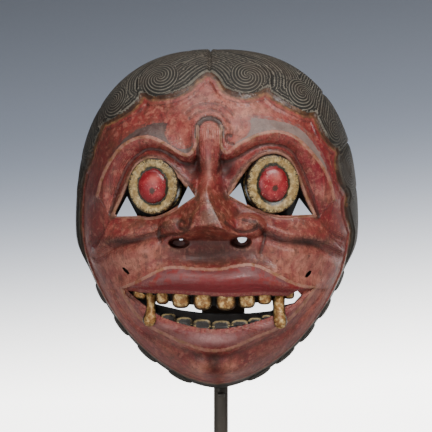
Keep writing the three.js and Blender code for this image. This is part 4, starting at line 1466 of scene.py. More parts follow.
def mottle_effect():
    """Cloudy patches of one size, with a threshold and a softness."""
    inputs = {"Size": 8, "Level": 0.5, "Softness": 0.12, "Offset": 0}
    sheet, given, result = new_effect("Mottle", inputs, ["Mask"])
    offset = sheet.node("ShaderNodeCombineXYZ", {"X": given["Offset"], "Y": given["Offset"]}).outputs[0]
    moved = sheet.node("ShaderNodeVectorMath", {0: sheet.millimetres(), 1: offset}, operation="ADD")
    noise = sheet.noise(1.0, 5.0, 0.6, 0.3, place=sheet.divided(moved.outputs[0], given["Size"]))
    sheet.feed(result["Mask"], sheet.step_around(noise, given["Level"], given["Softness"]))


def craquelure_effect():
    """Fine cracks of old paint: a mask and a height."""
    sheet, given, result = new_effect("Craquelure", {"Size": 2.2, "Width": 0.05}, ["Mask", "Height"])
    place = sheet.millimetres()
    wander = sheet.node("ShaderNodeTexNoise", {"Vector": place, "Scale": 0.6, "Detail": 2.0})
    bent = sheet.node("ShaderNodeVectorMath", {0: place, 1: wander.outputs["Color"]}, operation="ADD")
    cells = sheet.node("ShaderNodeTexVoronoi", {"Vector": bent.outputs[0]}, feature="DISTANCE_TO_EDGE")
    sheet.feed(cells.inputs["Scale"], sheet.combine("DIVIDE", 1.0, given["Size"]))
    crack = sheet.step(cells.outputs["Distance"], 0.0, given["Width"], 1.0, 0.0)
    mask = sheet.times(crack, sheet.step(sheet.noise(9.0, 2.0), 0.46, 0.6))
    sheet.feed(result["Mask"], mask)
    sheet.feed(result["Height"], sheet.combine("SUBTRACT", 1.0, mask))


def wood_grain_effect():
    """Long grain that runs up the block, with darker pores."""
    sheet, given, result = new_effect("Wood grain", {"Size": 1.6}, ["Tone", "Pores"])
    place = sheet.divided(sheet.millimetres((1.0, 1.0, 0.09)), given["Size"])
    sheet.feed(result["Tone"], sheet.noise(1.0, 4.0, 0.6, 0.8, place=place))
    sheet.feed(result["Pores"], sheet.step(sheet.noise(0.22, 2.0, 0.5, place=place), 0.6, 0.72))


def settled_dust_effect():
    """Dust on surfaces that face up and in hollows."""
    sheet, given, result = new_effect("Settled dust", {"Hollow": 0, "Amount": 0.5}, ["Mask"])
    facing = sheet.step(sheet.facing("Z"), 0.25, 0.95)
    patches = sheet.step(sheet.noise(5.0, 5.0, 0.65), 0.38, 0.68)
    lying = sheet.times(sheet.larger(facing, given["Hollow"]), patches)
    sheet.feed(result["Mask"], sheet.times(lying, given["Amount"]))


def make_effects():
    """All effects that the finishes share."""
    ragged_edge_effect()
    mottle_effect()
    craquelure_effect()
    wood_grain_effect()
    settled_dust_effect()


def new_finish(name):
    """Material with its sheet and the inputs of its main shader."""
    material = bpy.data.materials.new(name)
    material.use_nodes = True
    return material, Sheet(material.node_tree), material.node_tree.nodes["Principled BSDF"].inputs


def complete(sheet, shader, colour, roughness, bumps=()):
    """Feeds the main shader, with a chain of bumps from (height, strength, depth in millimetres)."""
    sheet.feed(shader["Base Color"], colour)
    sheet.feed(shader["Roughness"], roughness)
    normal = None
    for height, strength, depth in bumps:
        bump = sheet.node("ShaderNodeBump", {"Height": height, "Strength": strength, "Distance": depth * MM})
        if normal is not None:
            sheet.feed(bump.inputs["Normal"], normal)
        normal = bump.outputs[0]
    if normal is not None:
        sheet.feed(shader["Normal"], normal)


# Finishes.

def lacquer_patterns(sheet):
    """Patterns that several coats of the lacquer share."""
    return SimpleNamespace(
        fine=sheet.noise(1.1, 4.0, 0.65),
        cloudy=sheet.mottle(size=11.0, level=0.5, softness=0.2, offset=0.0),
        patchy=sheet.mottle(size=4.5, level=0.54, softness=0.09, offset=31.0),
        pits=sheet.mottle(size=1.7, level=0.66, softness=0.03, offset=210.0),
        streaks=sheet.group("Wood grain", size=2.4)["Tone"],
        cracks=sheet.group("Craquelure", size=3.1, width=0.035),
    )


def lacquer_body(sheet, paint, shared):
    """Red of the face: clouded, browned, faded, streaked, pitted and chipped, with painted shade under the
    brows, the nose and the eye bags and at the sides, and painted sheen on the cheeks, the forehead and the
    chin.
    """
    crimson = sheet.mottle(size=7.0, level=0.52, softness=0.12, offset=77.0)
    paler = sheet.mottle(size=3.2, level=0.58, softness=0.07, offset=140.0)
    chips = sheet.mottle(size=2.1, level=0.69, softness=0.03, offset=260.0)
    return sheet.coats(
        sheet.mix(shared.cloudy, paint.lacquer_red, paint.lacquer_light),
        # Deep red strokes: deeper paint and painted shade.
        (sheet.mask("deep_red_and_shade"), 1, paint.lacquer_deep_and_shade),
        (sheet.mask("umber"), 1, paint.lacquer_brown),
        # Rosy strokes: faded pink and painted sheen.
        (sheet.mask("rosy_and_sheen"), 1, paint.lacquer_pink_and_sheen),
        (shared.patchy, 0.55, paint.lacquer_brown),
        (crimson, 0.6, paint.lacquer_deep_and_shade),
        (paler, 0.45, paint.lacquer_pink_and_sheen),
        (sheet.step(shared.streaks, 0.48, 0.7, 0.0, 0.5), 1, paint.dark_grime_and_shade),
        (sheet.step(shared.fine, 0.5, 0.8, 0.0, 0.35), 1, paint.lacquer_pink_and_sheen),
        (sheet.step(shared.fine, 0.45, 0.25, 0.0, 0.5), 1, paint.dark_grime_and_shade),
        (shared.pits, 0.75, paint.dark_grime_and_shade),
        (chips, 0.5, paint.worn_pink),
    )


def painted_lips(sheet, paint, shared, colour):
    """Grey rose lips, red above the teeth, with painted highlights: light pink in the middle of the lower
    one, along the upper lip, at the lower lip's corners and on the nose's bridge and apex.
    """
    upper = sheet.area("upper_lip", reach=0.0, softness=0.25, wander=0.15, grain=1.6)
    inner = sheet.area("lip_red", reach=-0.2, softness=0.9, wander=0.25, grain=2.0)
    lower = sheet.area("lower_lip", reach=-1.4, softness=1.1, wander=0.25, grain=2.4)
    # Painted highlights, broken by fine noise.
    shine = sheet.times(sheet.mask("shine"), sheet.step(shared.fine, 0.2, 0.7, 1.0, 0.6))
    lip = sheet.coats(
        sheet.mix(shared.patchy, paint.lip_grey, paint.lacquer_red),
        # Deep red strokes on the lips: deeper red paint.
        (sheet.mask("deep_red_and_shade"), 0.85, paint.lip_red),
        (shared.pits, 0.5, paint.dark_grime_and_shade),
    )
    return sheet.coats(
        colour,
        (upper, 1, lip),
        (inner, 1, paint.lip_red),
        (lower, 0.8, sheet.mix(shared.patchy, paint.lip_grey, paint.lip_red)),
        (shine, 0.8, paint.painted_highlight_pink),
    )


def painted_brows(sheet, paint, shared, colour):
    """Dark brows, paler towards the viewer's right."""
    brow = sheet.area("brow", reach=-0.2, softness=0.5, wander=0.35, grain=2.2)
    across = sheet.node("ShaderNodeSeparateXYZ", {0: sheet.millimetres()}).outputs["X"]
    clouds = sheet.step(shared.cloudy, 0.0, 1.0, -0.1, 0.2)
    # Brows grade paler from the viewer's left to right.
    paler = sheet.plus(sheet.step(across, -40.0, 40.0, 0.1, 0.8), clouds)
    return sheet.coats(colour, (brow, 0.85, sheet.mix(paler, paint.brow_dark, paint.brow_grey)))


def shade_and_grime_coats(sheet, paint, shared, shade_and_grime, colour):
    """Painted shade in the hollows of the carving, under the nose, below the eye bags and the lower lip and
    at the sides, with a real dark mark in the chin's dimple; a dark green band along each upper lid; dark
    lines along the grooves, partly dirt and partly painted shade; dark forehead lines; and dirt in the
    cracks.
    """
    # Painted shade: darker where the carving lies below its surroundings.
    hollow = sheet.step(sheet.mask("edge_broad"), -0.3, -1.8)
    # Dark green band along each upper lid.
    lid_band = sheet.edge(sheet.line("lid"), reach=1.9, softness=0.7, wander=0.6, grain=1.8)
    # Groove lines: dirt and painted shade in the creases.
    groove = sheet.edge(sheet.line("groove"), reach=0.15, softness=0.3, wander=0.1, grain=2.0)
    mark = sheet.edge(sheet.line("mark"), reach=0.1, softness=0.35, wander=0.1, grain=2.0)
    return sheet.coats(
        colour,
        # Painted shade strokes, and the dark mark at the chin.
        (shade_and_grime, 1, paint.dark_grime_and_shade),
        # Painted shade in the hollows.
        (hollow, 0.5, paint.dark_grime_and_shade),
        (lid_band, 0.55, paint.eye_green),
        (groove, 0.75, paint.dark_grime_and_shade),
        (mark, 0.5, paint.dark_grime_and_shade),
        (shared.cracks["Mask"], 0.35, paint.dark_grime_and_shade),
    )


def worn_share(sheet, shared):
    """Share of the ground coat that shows on the crests and on raised edges."""
    line = sheet.edge(sheet.line("worn"), reach=0.08, softness=0.2, wander=0.12, grain=2.6)
    raised = sheet.times(sheet.step(sheet.mask("edge_fine"), 0.12, 0.4), sheet.step(shared.fine, 0.45, 0.65))
    return sheet.times(sheet.larger(line, sheet.times(raised, 0.35)), 0.65)


def black_hair(sheet, paint, ridge):
    """Black hair, lighter along its strands' crests with worn paint and painted sheen, and browned in
    patches.
    """
    broken = sheet.step(sheet.noise(3.4, 4.0, 0.7), 0.3, 0.66, 0.45, 1.0)
    browned = sheet.step(sheet.noise(14.0), 0.42, 0.66)
    return sheet.coats(
        paint.hair_dark,
        # Crests: worn paint and painted sheen.
        (sheet.times(ridge, broken), 0.9, paint.hair_rubbed_and_sheen),
        (browned, 0.25, paint.hair_brown),
    )


def hairline(sheet, paint, colour, hair, black):
    """Tan ledge before the hair, the shadow under it, the hair itself and the dark gap between."""
    ledge = sheet.area("hair", reach=1.4, softness=0.6, wander=0.2, grain=3.0)
    browned = sheet.step(sheet.noise(7.0, 4.0, 0.7), 0.36, 0.56, 0.25, 0.9)
    under = sheet.combine("ABSOLUTE", sheet.plus(sheet.mask("hair"), LEDGE_SHADOW))
    shadow = sheet.edge(under, reach=0.3, softness=0.35, wander=0.25, grain=3.0)
    border = sheet.combine("ABSOLUTE", sheet.mask("hair"))
    gap = sheet.edge(border, reach=0.1, softness=0.4, wander=0.25, grain=5.0)
    return sheet.coats(
        colour,
        (ledge, 0.8, sheet.mix(browned, paint.worn_wood, paint.hair_brown)),
        (shadow, 0.55, paint.dark_grime_and_shade),
        (hair, 1, black),
        (gap, 0.8, paint.soot),
    )


def lacquer_finish(paint):
    """Old red lacquer with black hair, dark brows and grey rose lips, with painted shade, sheen and
    highlights, worn to the wood along its crests.
    """
    material, sheet, shader = new_finish("red_lacquer")
    shared = lacquer_patterns(sheet)
    # Painted shade strokes with the chin's dark mark, broken by fine noise.
    shade_and_grime = sheet.times(sheet.mask("shade_and_grime"), sheet.step(shared.fine, 0.1, 0.8, 1.0, 0.7))
    worn = worn_share(sheet, shared)
    socket = sheet.area("socket", reach=-0.6, softness=0.3, wander=0.15, grain=2.0)
    mouth = sheet.area("mouth", reach=-0.5, softness=0.3, wander=0.15, grain=2.0)
    black = sheet.larger(socket, mouth)
    strand = sheet.combine("COSINE", sheet.times(sheet.mask("flow"), 2 * math.pi / STRAND))
    # Light strand crests: worn paint and painted light.
    ridge = sheet.times(sheet.step(sheet.times(strand, -1.0), 0.0, 0.95), sheet.mask("rubbing_and_light"))
    hair = sheet.area("hair", reach=-0.2, softness=0.3, wander=0.05, grain=1.6)

    colour = lacquer_body(sheet, paint, shared)
    colour = painted_lips(sheet, paint, shared, colour)
    colour = painted_brows(sheet, paint, shared, colour)
    colour = shade_and_grime_coats(sheet, paint, shared, shade_and_grime, colour)
    colour = sheet.coats(
        colour,
        (worn, 1, sheet.mix(shared.patchy, paint.worn_pink, paint.worn_wood)),
        (black, 1, paint.soot),
    )
    colour = hairline(sheet, paint, colour, hair, black_hair(sheet, paint, ridge))
    bare = sheet.mix(shared.streaks, paint.wood_dark, paint.wood_light)
    colour = sheet.coats(
        colour,
        (sheet.group("Settled dust", hollow=0.1, amount=0.05)["Mask"], 1, paint.dust),
        (sheet.step(sheet.facing("Y"), 0.6, 0.9), 1, bare),
    )
    gloss = sheet.step(shared.cloudy, 0.0, 1.0, 0.36, 0.48)
    gloss = sheet.plus(gloss, sheet.step(shared.fine, 0.3, 0.7, -0.05, 0.07))
    gloss = sheet.plus(gloss, sheet.times(sheet.larger(shade_and_grime, worn), 0.14))
    gloss = sheet.larger(gloss, sheet.times(sheet.larger(hair, black), 0.7))
    complete(sheet, shader, colour, gloss, [
        (sheet.times(ridge, hair), 0.8, 0.5),
        (shared.streaks, 0.35, 0.35),
        (shared.fine, 0.3, 0.12),
        (shared.cracks["Height"], 0.5, 0.08),
    ])
    return material


def hollow_finish(paint):
    """Bare wood of the hollow, darkened by wear and dust."""
    material, sheet, shader = new_finish("bare_hollow")
    grain = sheet.group("Wood grain", size=2.2)
    patches = sheet.mottle(size=16.0, level=0.5, softness=0.18, offset=12.0)
    colour = sheet.coats(
        sheet.mix(grain["Tone"], paint.wood_dark, paint.wood_light),
        (patches, 0.6, paint.wood_dark),
        (grain["Pores"], 0.6, paint.soot),
    )
    bumps = [(grain["Tone"], 0.5, 0.4), (grain["Pores"], 0.4, 0.1)]
    complete(sheet, shader, colour, sheet.step(patches, 0.0, 1.0, 0.62, 0.78), bumps)
    return material


def painted_iris(sheet, paint, across, along, wobble, patches):
    """Red iris, darker to its edge, with a painted highlight spot, chips and a dark pupil."""
    chips = sheet.step(sheet.noise(0.9, 2.0, 0.5), 0.66, 0.7)
    # Painted highlight: a light spot above the middle of the iris.
    pale = sheet.length(sheet.plus(across, -0.08), sheet.plus(along, -0.22))
    pupil = sheet.plus(sheet.length(sheet.plus(across, -0.03), sheet.plus(along, 0.15)), wobble)
    return sheet.coats(
        sheet.mix(patches, paint.iris_red, paint.iris_bright),
        (sheet.step(sheet.length(across, along), 0.3, 0.6, 0.0, 0.6), 1, paint.iris_dark),
        (sheet.step(pale, 0.0, 0.34, 0.3, 0.0), 1, paint.iris_chips_and_highlight),
        (chips, 0.6, paint.iris_chips_and_highlight),
        (sheet.step(pupil, 0.09, 0.15, 0.85, 0.0), 1, paint.eye_green),
    )


def crazed_gilt(sheet, paint, rim, rays, patches):
    """Gilt ring, browned in patches and crazed towards its rim."""
    worn = sheet.step(sheet.noise(1.4, 4.0, 0.7), 0.4, 0.6)
    outer = sheet.step(sheet.step(rim, 0.8, 0.94), 0.0, 1.0, 0.1, 0.95)
    return sheet.coats(
        sheet.mix(patches, paint.eye_gilt, paint.eye_cream_and_highlight),
        (worn, 0.6, paint.eye_brown),
        (sheet.times(sheet.step(rays, 0.47, 0.57), outer), 1, paint.soot),
        (sheet.step(rim, 0.93, 1.0), 1, paint.soot),
    )


def eye_finish(paint):
    """Turned eye: red iris with a dark pupil, dark ring, gilt ring with radial crazing and a black wall."""
    material, sheet, shader = new_finish("eye_paint")
    across = sheet.mask("eye_u")
    along = sheet.mask("eye_v")
    radius = sheet.length(across, along)
    wobble = sheet.step(sheet.noise(2.4, 3.0, 0.6), 0.2, 0.8, -0.045, 0.045)
    rim = sheet.plus(radius, wobble)
    spread = sheet.plus(radius, 0.01)
    turn = sheet.node("ShaderNodeCombineXYZ", {
        "X": sheet.combine("DIVIDE", across, spread),
        "Y": sheet.combine("DIVIDE", along, spread),
        "Z": sheet.times(radius, 0.25),
    }).outputs[0]
    rays = sheet.noise(0.024, 2.0, 0.6, place=turn)
    patches = sheet.mottle(size=3.0, level=0.52, softness=0.1, offset=5.0)
    tall_rim = sheet.plus(sheet.length(sheet.times(across, 1.06), sheet.times(along, 0.94)), wobble)
    behind = sheet.facing("Y")
    wall = sheet.times(sheet.step(behind, -0.5, -0.25), sheet.step(radius, 0.86, 0.92))
    colour = sheet.coats(
        painted_iris(sheet, paint, across, along, wobble, patches),
        (sheet.step(tall_rim, 0.56, 0.6), 1, paint.eye_green),
        (sheet.step(tall_rim, 0.64, 0.7), 1, crazed_gilt(sheet, paint, rim, rays, patches)),
        (wall, 1, paint.soot),
        (sheet.step(behind, 0.2, 0.5), 1, paint.wood_dark),
    )
    roughness = sheet.step(rim, 0.62, 0.8, 0.26, 0.45)
    complete(sheet, shader, colour, roughness, [(rays, 0.35, 0.15), (patches, 0.2, 0.1)])
    return material


def gilding_finish(paint):
    """Gold paint of the upper teeth and fangs, with bright patches that are partly painted glints and brown
    patches that are partly painted dark reflection, dark in the gaps and worn to the ground coat.
    """
    material, sheet, shader = new_finish("tooth_gilding")
    patches = sheet.mottle(size=2.2, level=0.52, softness=0.1, offset=3.0)
    browned = sheet.mottle(size=2.8, level=0.52, softness=0.08, offset=41.0)
    fine = sheet.noise(0.8, 4.0, 0.7)
    outline = sheet.step(sheet.plus(sheet.mask("tooth"), sheet.step(fine, 0.2, 0.8, -0.14, 0.14)), 0.6, 0.92)
    colour = sheet.coats(
        # Bright patches: lighter gold and painted glints.
        sheet.mix(patches, paint.gold, paint.gold_light_and_glint),
        # Brown patches: browned gold and painted dark reflection.
        (browned, 0.75, paint.gold_brown_and_reflection),
        (sheet.step(fine, 0.5, 0.75, 0.0, 0.8), 1, paint.gold_dark),
        (outline, 0.92, paint.gold_dark),
    )
    sheet.feed(shader["Metallic"], sheet.step(patches, 0.0, 1.0, 0.45, 0.25))
    bumps = [(fine, 0.5, 0.25), (patches, 0.3, 0.2)]
    complete(sheet, shader, colour, sheet.step(fine, 0.3, 0.7, 0.32, 0.5), bumps)
    return material


def dark_tooth_finish(paint):
    """Blackened lower teeth with a light upper edge: worn paint, and a painted highlight where the edge faces
    up.
    """
    material, sheet, shader = new_finish("dark_teeth")
    fine = sheet.noise(1.0, 4.0, 0.7)
    rim = sheet.plus(sheet.mask("tooth"), sheet.step(fine, 0.2, 0.8, -0.1, 0.1))
    # Upper rim: worn paint, with a painted highlight stronger where it faces up.
    rubbed_and_lit_rim = sheet.times(sheet.step(rim, 0.6, 0.75), sheet.step(rim, 1.0, 0.86))
    rubbed_and_lit_rim = sheet.times(rubbed_and_lit_rim, sheet.step(sheet.facing("Z"), 0.0, 0.6, 0.05, 0.7))
    colour = sheet.coats(
        sheet.mix(sheet.step(fine, 0.35, 0.7), paint.tooth_black, paint.tooth_grey),
        (rubbed_and_lit_rim, 1, paint.eye_cream_and_highlight),
        (sheet.step(rim, 0.9, 1.02), 1, paint.soot),
    )
    complete(sheet, shader, colour, sheet.step(fine, 0.3, 0.7, 0.4, 0.55), [(fine, 0.4, 0.2)])
    return material


def soot_finish(paint):
    """Black paint on the cut edges of the openings."""
    material, sheet, shader = new_finish("blackened_edge")
    fine = sheet.noise(1.6, 4.0, 0.7)
    colour = sheet.mix(sheet.step(fine, 0.4, 0.8), paint.soot, paint.dark_grime_and_shade)
    complete(sheet, shader, colour, sheet.step(fine, 0.3, 0.7, 0.5, 0.65), [(fine, 0.3, 0.2)])
    return material


def steel_finish(name, paint, brushed):
    """Blackened steel with fine brushing, handling marks and dust."""
    material, sheet, shader = new_finish(name)
    cloudy = sheet.mottle(size=22.0, level=0.5, softness=0.2, offset=brushed * 9.0)
    brushing = sheet.noise(0.35, 3.0, 0.6, place=sheet.millimetres((1.0, 1.0, 0.02 + brushed)))
    specks = sheet.step(sheet.noise(1.2, 2.0), 0.68, 0.72)
    colour = sheet.coats(
        sheet.mix(cloudy, paint.steel_dark, paint.steel_brown),
        (specks, 0.3, paint.steel_rubbed),
        (sheet.group("Settled dust", hollow=0.0, amount=0.2)["Mask"], 1, paint.dust),
    )
    shader["Metallic"].default_value = 0.35
    complete(sheet, shader, colour, sheet.step(cloudy, 0.0, 1.0, 0.38, 0.52), [(brushing, 0.15, 0.05)])
    return material


def backdrop_finish(stage):
    """Pale paper floor, and a wall that glows with painted light, white at its foot and fading to grey above.
    """
    material, sheet, shader = new_finish("glowing_backdrop")
    place = sheet.node("ShaderNodeTexCoord").outputs["Object"]
    parts = sheet.node("ShaderNodeSeparateXYZ", {0: place}).outputs
    # Painted light: the wall's glow fades upward, with an extra darkening across its middle.
    height = sheet.plus(parts["Z"], sheet.times(parts["X"], stage.paper_slope))
    tint = sheet.mix(sheet.step(height, 0.02, 0.36), stage.paper_low, stage.paper_high)
    middle = sheet.times(sheet.step(height, 0.0, 0.353), stage.paper_drop)
    fade = sheet.plus(sheet.times(sheet.larger(height, 0.0), stage.paper_fade), middle)
    behind = sheet.step(parts["Y"], 0.7, 1.7)
    fade = sheet.times(sheet.combine("EXPONENT", sheet.times(fade, -1.0)), behind)
    glow = sheet.node("ShaderNodeVectorMath", {0: tint}, operation="SCALE")
    sheet.feed(glow.inputs["Scale"], fade)
    sheet.feed(shader["Emission Color"], glow.outputs[0])
    shader["Emission Strength"].default_value = stage.paper_glow
    # Dark wall paper, so that only its painted glow lights it.
    colour = sheet.mix(behind, stage.paper_floor, stage.paper_shade)
    complete(sheet, shader, colour, sheet.step(sheet.noise(3.0, 4.0), 0.0, 1.0, 0.8, 0.9))
    return material


# Values that a user would change.

def colour_property(name, description, red, green, blue):
    """Colour value from 0 to 255 screen values."""
    return FloatVectorProperty(
        name=name, description=description, subtype="COLOR", size=4, min=0.0, max=1.0,
        default=linear(red, green, blue),
    )


class MaskValues(PropertyGroup):
    """Fineness of the carved mask."""
    grid: IntProperty(
        name="Carving grid", description="Steps across the front of the carving", default=560,
        min=100, max=900,
    )
    hollow_grid: IntProperty(
        name="Hollow grid", description="Steps across the hollow", default=120, min=40, max=300,
    )
    triangles: IntProperty(
        name="Triangles", description="Most triangles that the finished mask keeps", default=196000,
        min=20000, max=199000,
    )


class PaintValues(PropertyGroup):
    """Colours of the paint, the wood and the steel, and of the painted shade, sheen and highlights."""
    lacquer_red: colour_property("Lacquer", "Body of the red lacquer", 142, 50, 48)
    lacquer_light: colour_property("Lacquer, light", "Lighter clouds of the lacquer", 164, 76, 64)
    # Deep red of the lacquer, also the colour of the painted shade under the brows and at the sides.
    lacquer_deep_and_shade: colour_property("Lacquer, deep", "Deep red under the brows and at the sides", 126, 18, 34)
    lacquer_brown: colour_property("Lacquer, brown", "Browned lacquer of the nose and lids", 104, 56, 38)
    # Pink of faded lacquer, also the colour of the painted sheen on the cheeks, the forehead and the chin.
    lacquer_pink_and_sheen: colour_property("Lacquer, pink", "Faded lacquer of the forehead and cheeks", 196, 126, 106)
    lip_grey: colour_property("Lip", "Grey rose of the lips", 124, 74, 74)
    lip_red: colour_property("Lip, inner", "Red band above the teeth", 118, 18, 26)
    # Light pink of the painted highlights on the lips and the nose.
    painted_highlight_pink: colour_property("Lip, lower", "Pale rose of the lower lip", 200, 152, 148)
    brow_dark: colour_property("Brow", "Dark brow paint", 40, 37, 35)
    # Lighter grey that the brows grade to towards the viewer's right.
    brow_grey: colour_property("Brow, faded", "Faded brow paint", 148, 132, 124)
    # Dark colour of dirt, and of the painted shade in the hollows, under the nose and the bags and under the
    # hair's ledge.
    dark_grime_and_shade: colour_property("Grime", "Dirt in the hollows", 52, 32, 27)
    soot: colour_property("Black", "Black paint of the openings", 12, 9, 8)
    worn_pink: colour_property("Worn edge", "Pale ground coat on the crests", 198, 146, 124)
    worn_wood: colour_property("Worn wood", "Wood and size laid bare", 158, 116, 72)
    hair_dark: colour_property("Hair", "Black of the hair", 34, 31, 27)
    hair_brown: colour_property("Hair, brown", "Browned parts of the hair", 70, 50, 36)
    # Light crests of the strands: worn paint and painted sheen.
    hair_rubbed_and_sheen: colour_property("Hair, rubbed", "Rubbed crests of the strands", 140, 132, 118)
    dust: colour_property("Dust", "Dust that has settled", 168, 156, 142)
    iris_red: colour_property("Iris", "Red of the iris", 150, 30, 38)
    iris_dark: colour_property("Iris, dark", "Shaded edge of the iris", 84, 10, 18)
    iris_bright: colour_property("Iris, bright", "Bright patches of the iris", 182, 60, 62)
    # Light colour of the iris's chips and crazing, and of its painted highlight spot.
    iris_chips_and_highlight: colour_property("Iris, chips", "Chips and crazing of the iris", 222, 150, 132)
    eye_green: colour_property("Eye ring", "Dark ring round the iris", 52, 50, 38)
    eye_gilt: colour_property("Eye gilt", "Gilt ring of the eye", 176, 142, 84)
    eye_brown: colour_property("Eye brown", "Browned gilt of the eye", 110, 84, 48)
    # Faded gilt of the eyes, also the painted highlight on the lower teeth's upper rims.
    eye_cream_and_highlight: colour_property("Eye cream", "Faded gilt of the eye", 222, 194, 136)
    gold: colour_property("Gold", "Gold of the teeth", 180, 130, 72)
    # Bright gold, also used for painted glints on the teeth.
    gold_light_and_glint: colour_property("Gold, light", "Bright gold of the teeth", 236, 200, 134)
    # Browned gold, also used for painted dark reflection on the teeth.
    gold_brown_and_reflection: colour_property("Gold, brown", "Browned gold", 128, 80, 42)
    gold_dark: colour_property("Gold, dark", "Dirt between the teeth", 48, 32, 20)
    tooth_black: colour_property("Lower teeth", "Black of the lower teeth", 34, 30, 27)
    tooth_grey: colour_property("Lower teeth, grey", "Rubbed grey of the lower teeth", 62, 56, 52)
    wood_light: colour_property("Wood", "Wood of the hollow", 140, 104, 70)
    wood_dark: colour_property("Wood, dark", "Darkened wood of the hollow", 66, 44, 28)
    steel_dark: colour_property("Steel", "Blackened steel", 78, 75, 70)
    steel_brown: colour_property("Steel, brown", "Browned patches of the steel", 92, 85, 77)
    steel_rubbed: colour_property("Steel, rubbed", "Specks rubbed bright", 120, 112, 102)


class StageValues(PropertyGroup):
    """Paper with the wall's painted glow, lights and camera."""
    paper_floor: colour_property("Floor", "Paper of the floor", 228, 227, 225)
    # Dark paper of the wall, lit only by its painted glow.
    paper_shade: colour_property("Wall", "Paper of the wall's top", 30, 32, 36)
    # Tints, brightness and fading of the wall's painted glow.
    paper_low: colour_property("Glow, low", "Tint at the foot of the wall", 255, 253, 250)
    paper_high: colour_property("Glow, high", "Tint at the top of the wall", 216, 230, 255)
    paper_glow: FloatProperty(
        name="Glow", description="Brightness at the foot of the wall", default=5.7, min=0.0,
    )
    paper_fade: FloatProperty(
        name="Fade", description="How fast the wall darkens upward, per metre", default=5.1, min=0.0,
    )
    paper_drop: FloatProperty(
        name="Drop", description="Extra darkening across the middle of the wall", default=1.26, min=0.0,
    )
    paper_slope: FloatProperty(
        name="Paper slope", description="Sideways lean of the fade", default=-0.09, min=-1.0, max=1.0,
    )
    paper_distance: FloatProperty(
        name="Wall distance", description="Distance of the wall behind the mask", default=2.6, unit="LENGTH",
    )
    camera_distance: FloatProperty(
        name="Camera distance", description="Distance of the camera before the mask's back", default=2.0,
        unit="LENGTH",
    )
    lens: FloatProperty(name="Lens", description="Focal length", default=300.0, min=20.0, unit="CAMERA")


# Pieces.

def declare(piece, node):
    """Makes a piece ride on the object and stand for a CAD node."""
    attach(piece, "root")
    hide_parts(node)


def mask_finishes(paint):
    """Materials of the mask, by name."""
    return {
        "lacquer": lacquer_finish(paint),
        "hollow": hollow_finish(paint),
        "soot": soot_finish(paint),
        "eyes": eye_finish(paint),
        "gilding": gilding_finish(paint),
        "dark_teeth": dark_tooth_finish(paint),
    }


WELD_DISTANCE = 0.00002
FLAT_ANGLE = math.radians(2)
SHARP_ANGLE = math.radians(40)


def softened_copy(node, name, width, segments):
    """Copy of a CAD node whose flat faces meet in small rounded edges."""
    source = bpy.data.objects[node]
    mesh = source.data.copy()
    piece = bpy.data.objects.new(name, mesh)
    bpy.context.scene.collection.objects.link(piece)
    work = bmesh.new()
    work.from_mesh(mesh)
    bmesh.ops.remove_doubles(work, verts=work.verts, dist=WELD_DISTANCE)
    bmesh.ops.dissolve_limit(work, angle_limit=FLAT_ANGLE, verts=work.verts, edges=work.edges)
    paired = [edge for edge in work.edges if len(edge.link_faces) == 2]
    sharp = [edge for edge in paired if edge.calc_face_angle(0) > SHARP_ANGLE]
    bmesh.ops.bevel(
        work, geom=sharp, offset=width, segments=segments, profile=0.5, affect="EDGES", clamp_overlap=True,
    )
    work.to_mesh(mesh)
    work.free()
    mesh.materials.clear()
    mesh.shade_smooth()
    mesh.update()
    return piece


class TOPENG_OT_carve_mask(Operator):
    """Carve and paint the mask"""
    bl_idname = "topeng.carve_mask"
    bl_label = "Carve Mask"

    def execute(self, context):
        values = context.scene.topeng_mask
        finishes = mask_finishes(context.scene.topeng_paint)
        grid = values.grid
        piece = carve_mask(grid, values.hollow_grid, finishes)
        thin_out(piece, values.triangles)
        piece.data.shade_smooth()
        write_masks(piece)
        piece.name = "carved_mask"
        declare(piece, "mask")
        return {"FINISHED"}


class TOPENG_OT_build_stand(Operator):
    """Build the steel foot, rod and cradle"""
    bl_idname = "topeng.build_stand"
    bl_label = "Build Stand"

    def execute(self, context):
        paint = context.scene.topeng_paint
        steel = steel_finish("black_steel_rod", paint, 0.0)
        plate = steel_finish("black_steel_plate", paint, 1.0)
        for node, name, width, segments, finish in (
            ("stand_foot", "softened_foot", 0.0012, 3, plate),
            ("stand_rod", "softened_rod", 0.0005, 2, steel),
            ("stand_cradle", "softened_cradle", 0.0005, 2, steel),
        ):
            piece = softened_copy(node, name, width, segments)
            piece.data.materials.append(finish)
            declare(piece, node)
        return {"FINISHED"}


# Stage.

BACKDROP_HALF = 3.0
BACKDROP_FRONT = -4.0
BACKDROP_HIGH = 3.0
BEND_RADIUS = 0.35
BEND_STEPS = 12
LIGHTS = [
    {"name": "key", "place": (0.5, -1.2, 1.25), "energy": 20, "size": 0.6, "color": (1.0, 0.98, 0.95)},
    {"name": "fill", "place": (-0.8, -1.5, 0.16), "energy": 10, "size": 1.0, "color": (0.96, 0.98, 1.0)},
    {"name": "top", "place": (-0.1, -0.2, 1.4), "energy": 4, "size": 0.6, "color": (1.0, 1.0, 1.0)},
]
SKY_COLOUR = (0.9, 0.95, 1.0, 1.0)
SKY_STRENGTH = 0.12
SENSOR_WIDTH = 36.0


def place_in_scene(name, data):
    """Object of some data, linked to the scene."""
    made = bpy.data.objects.new(name, data)
    bpy.context.scene.collection.objects.link(made)
    return made


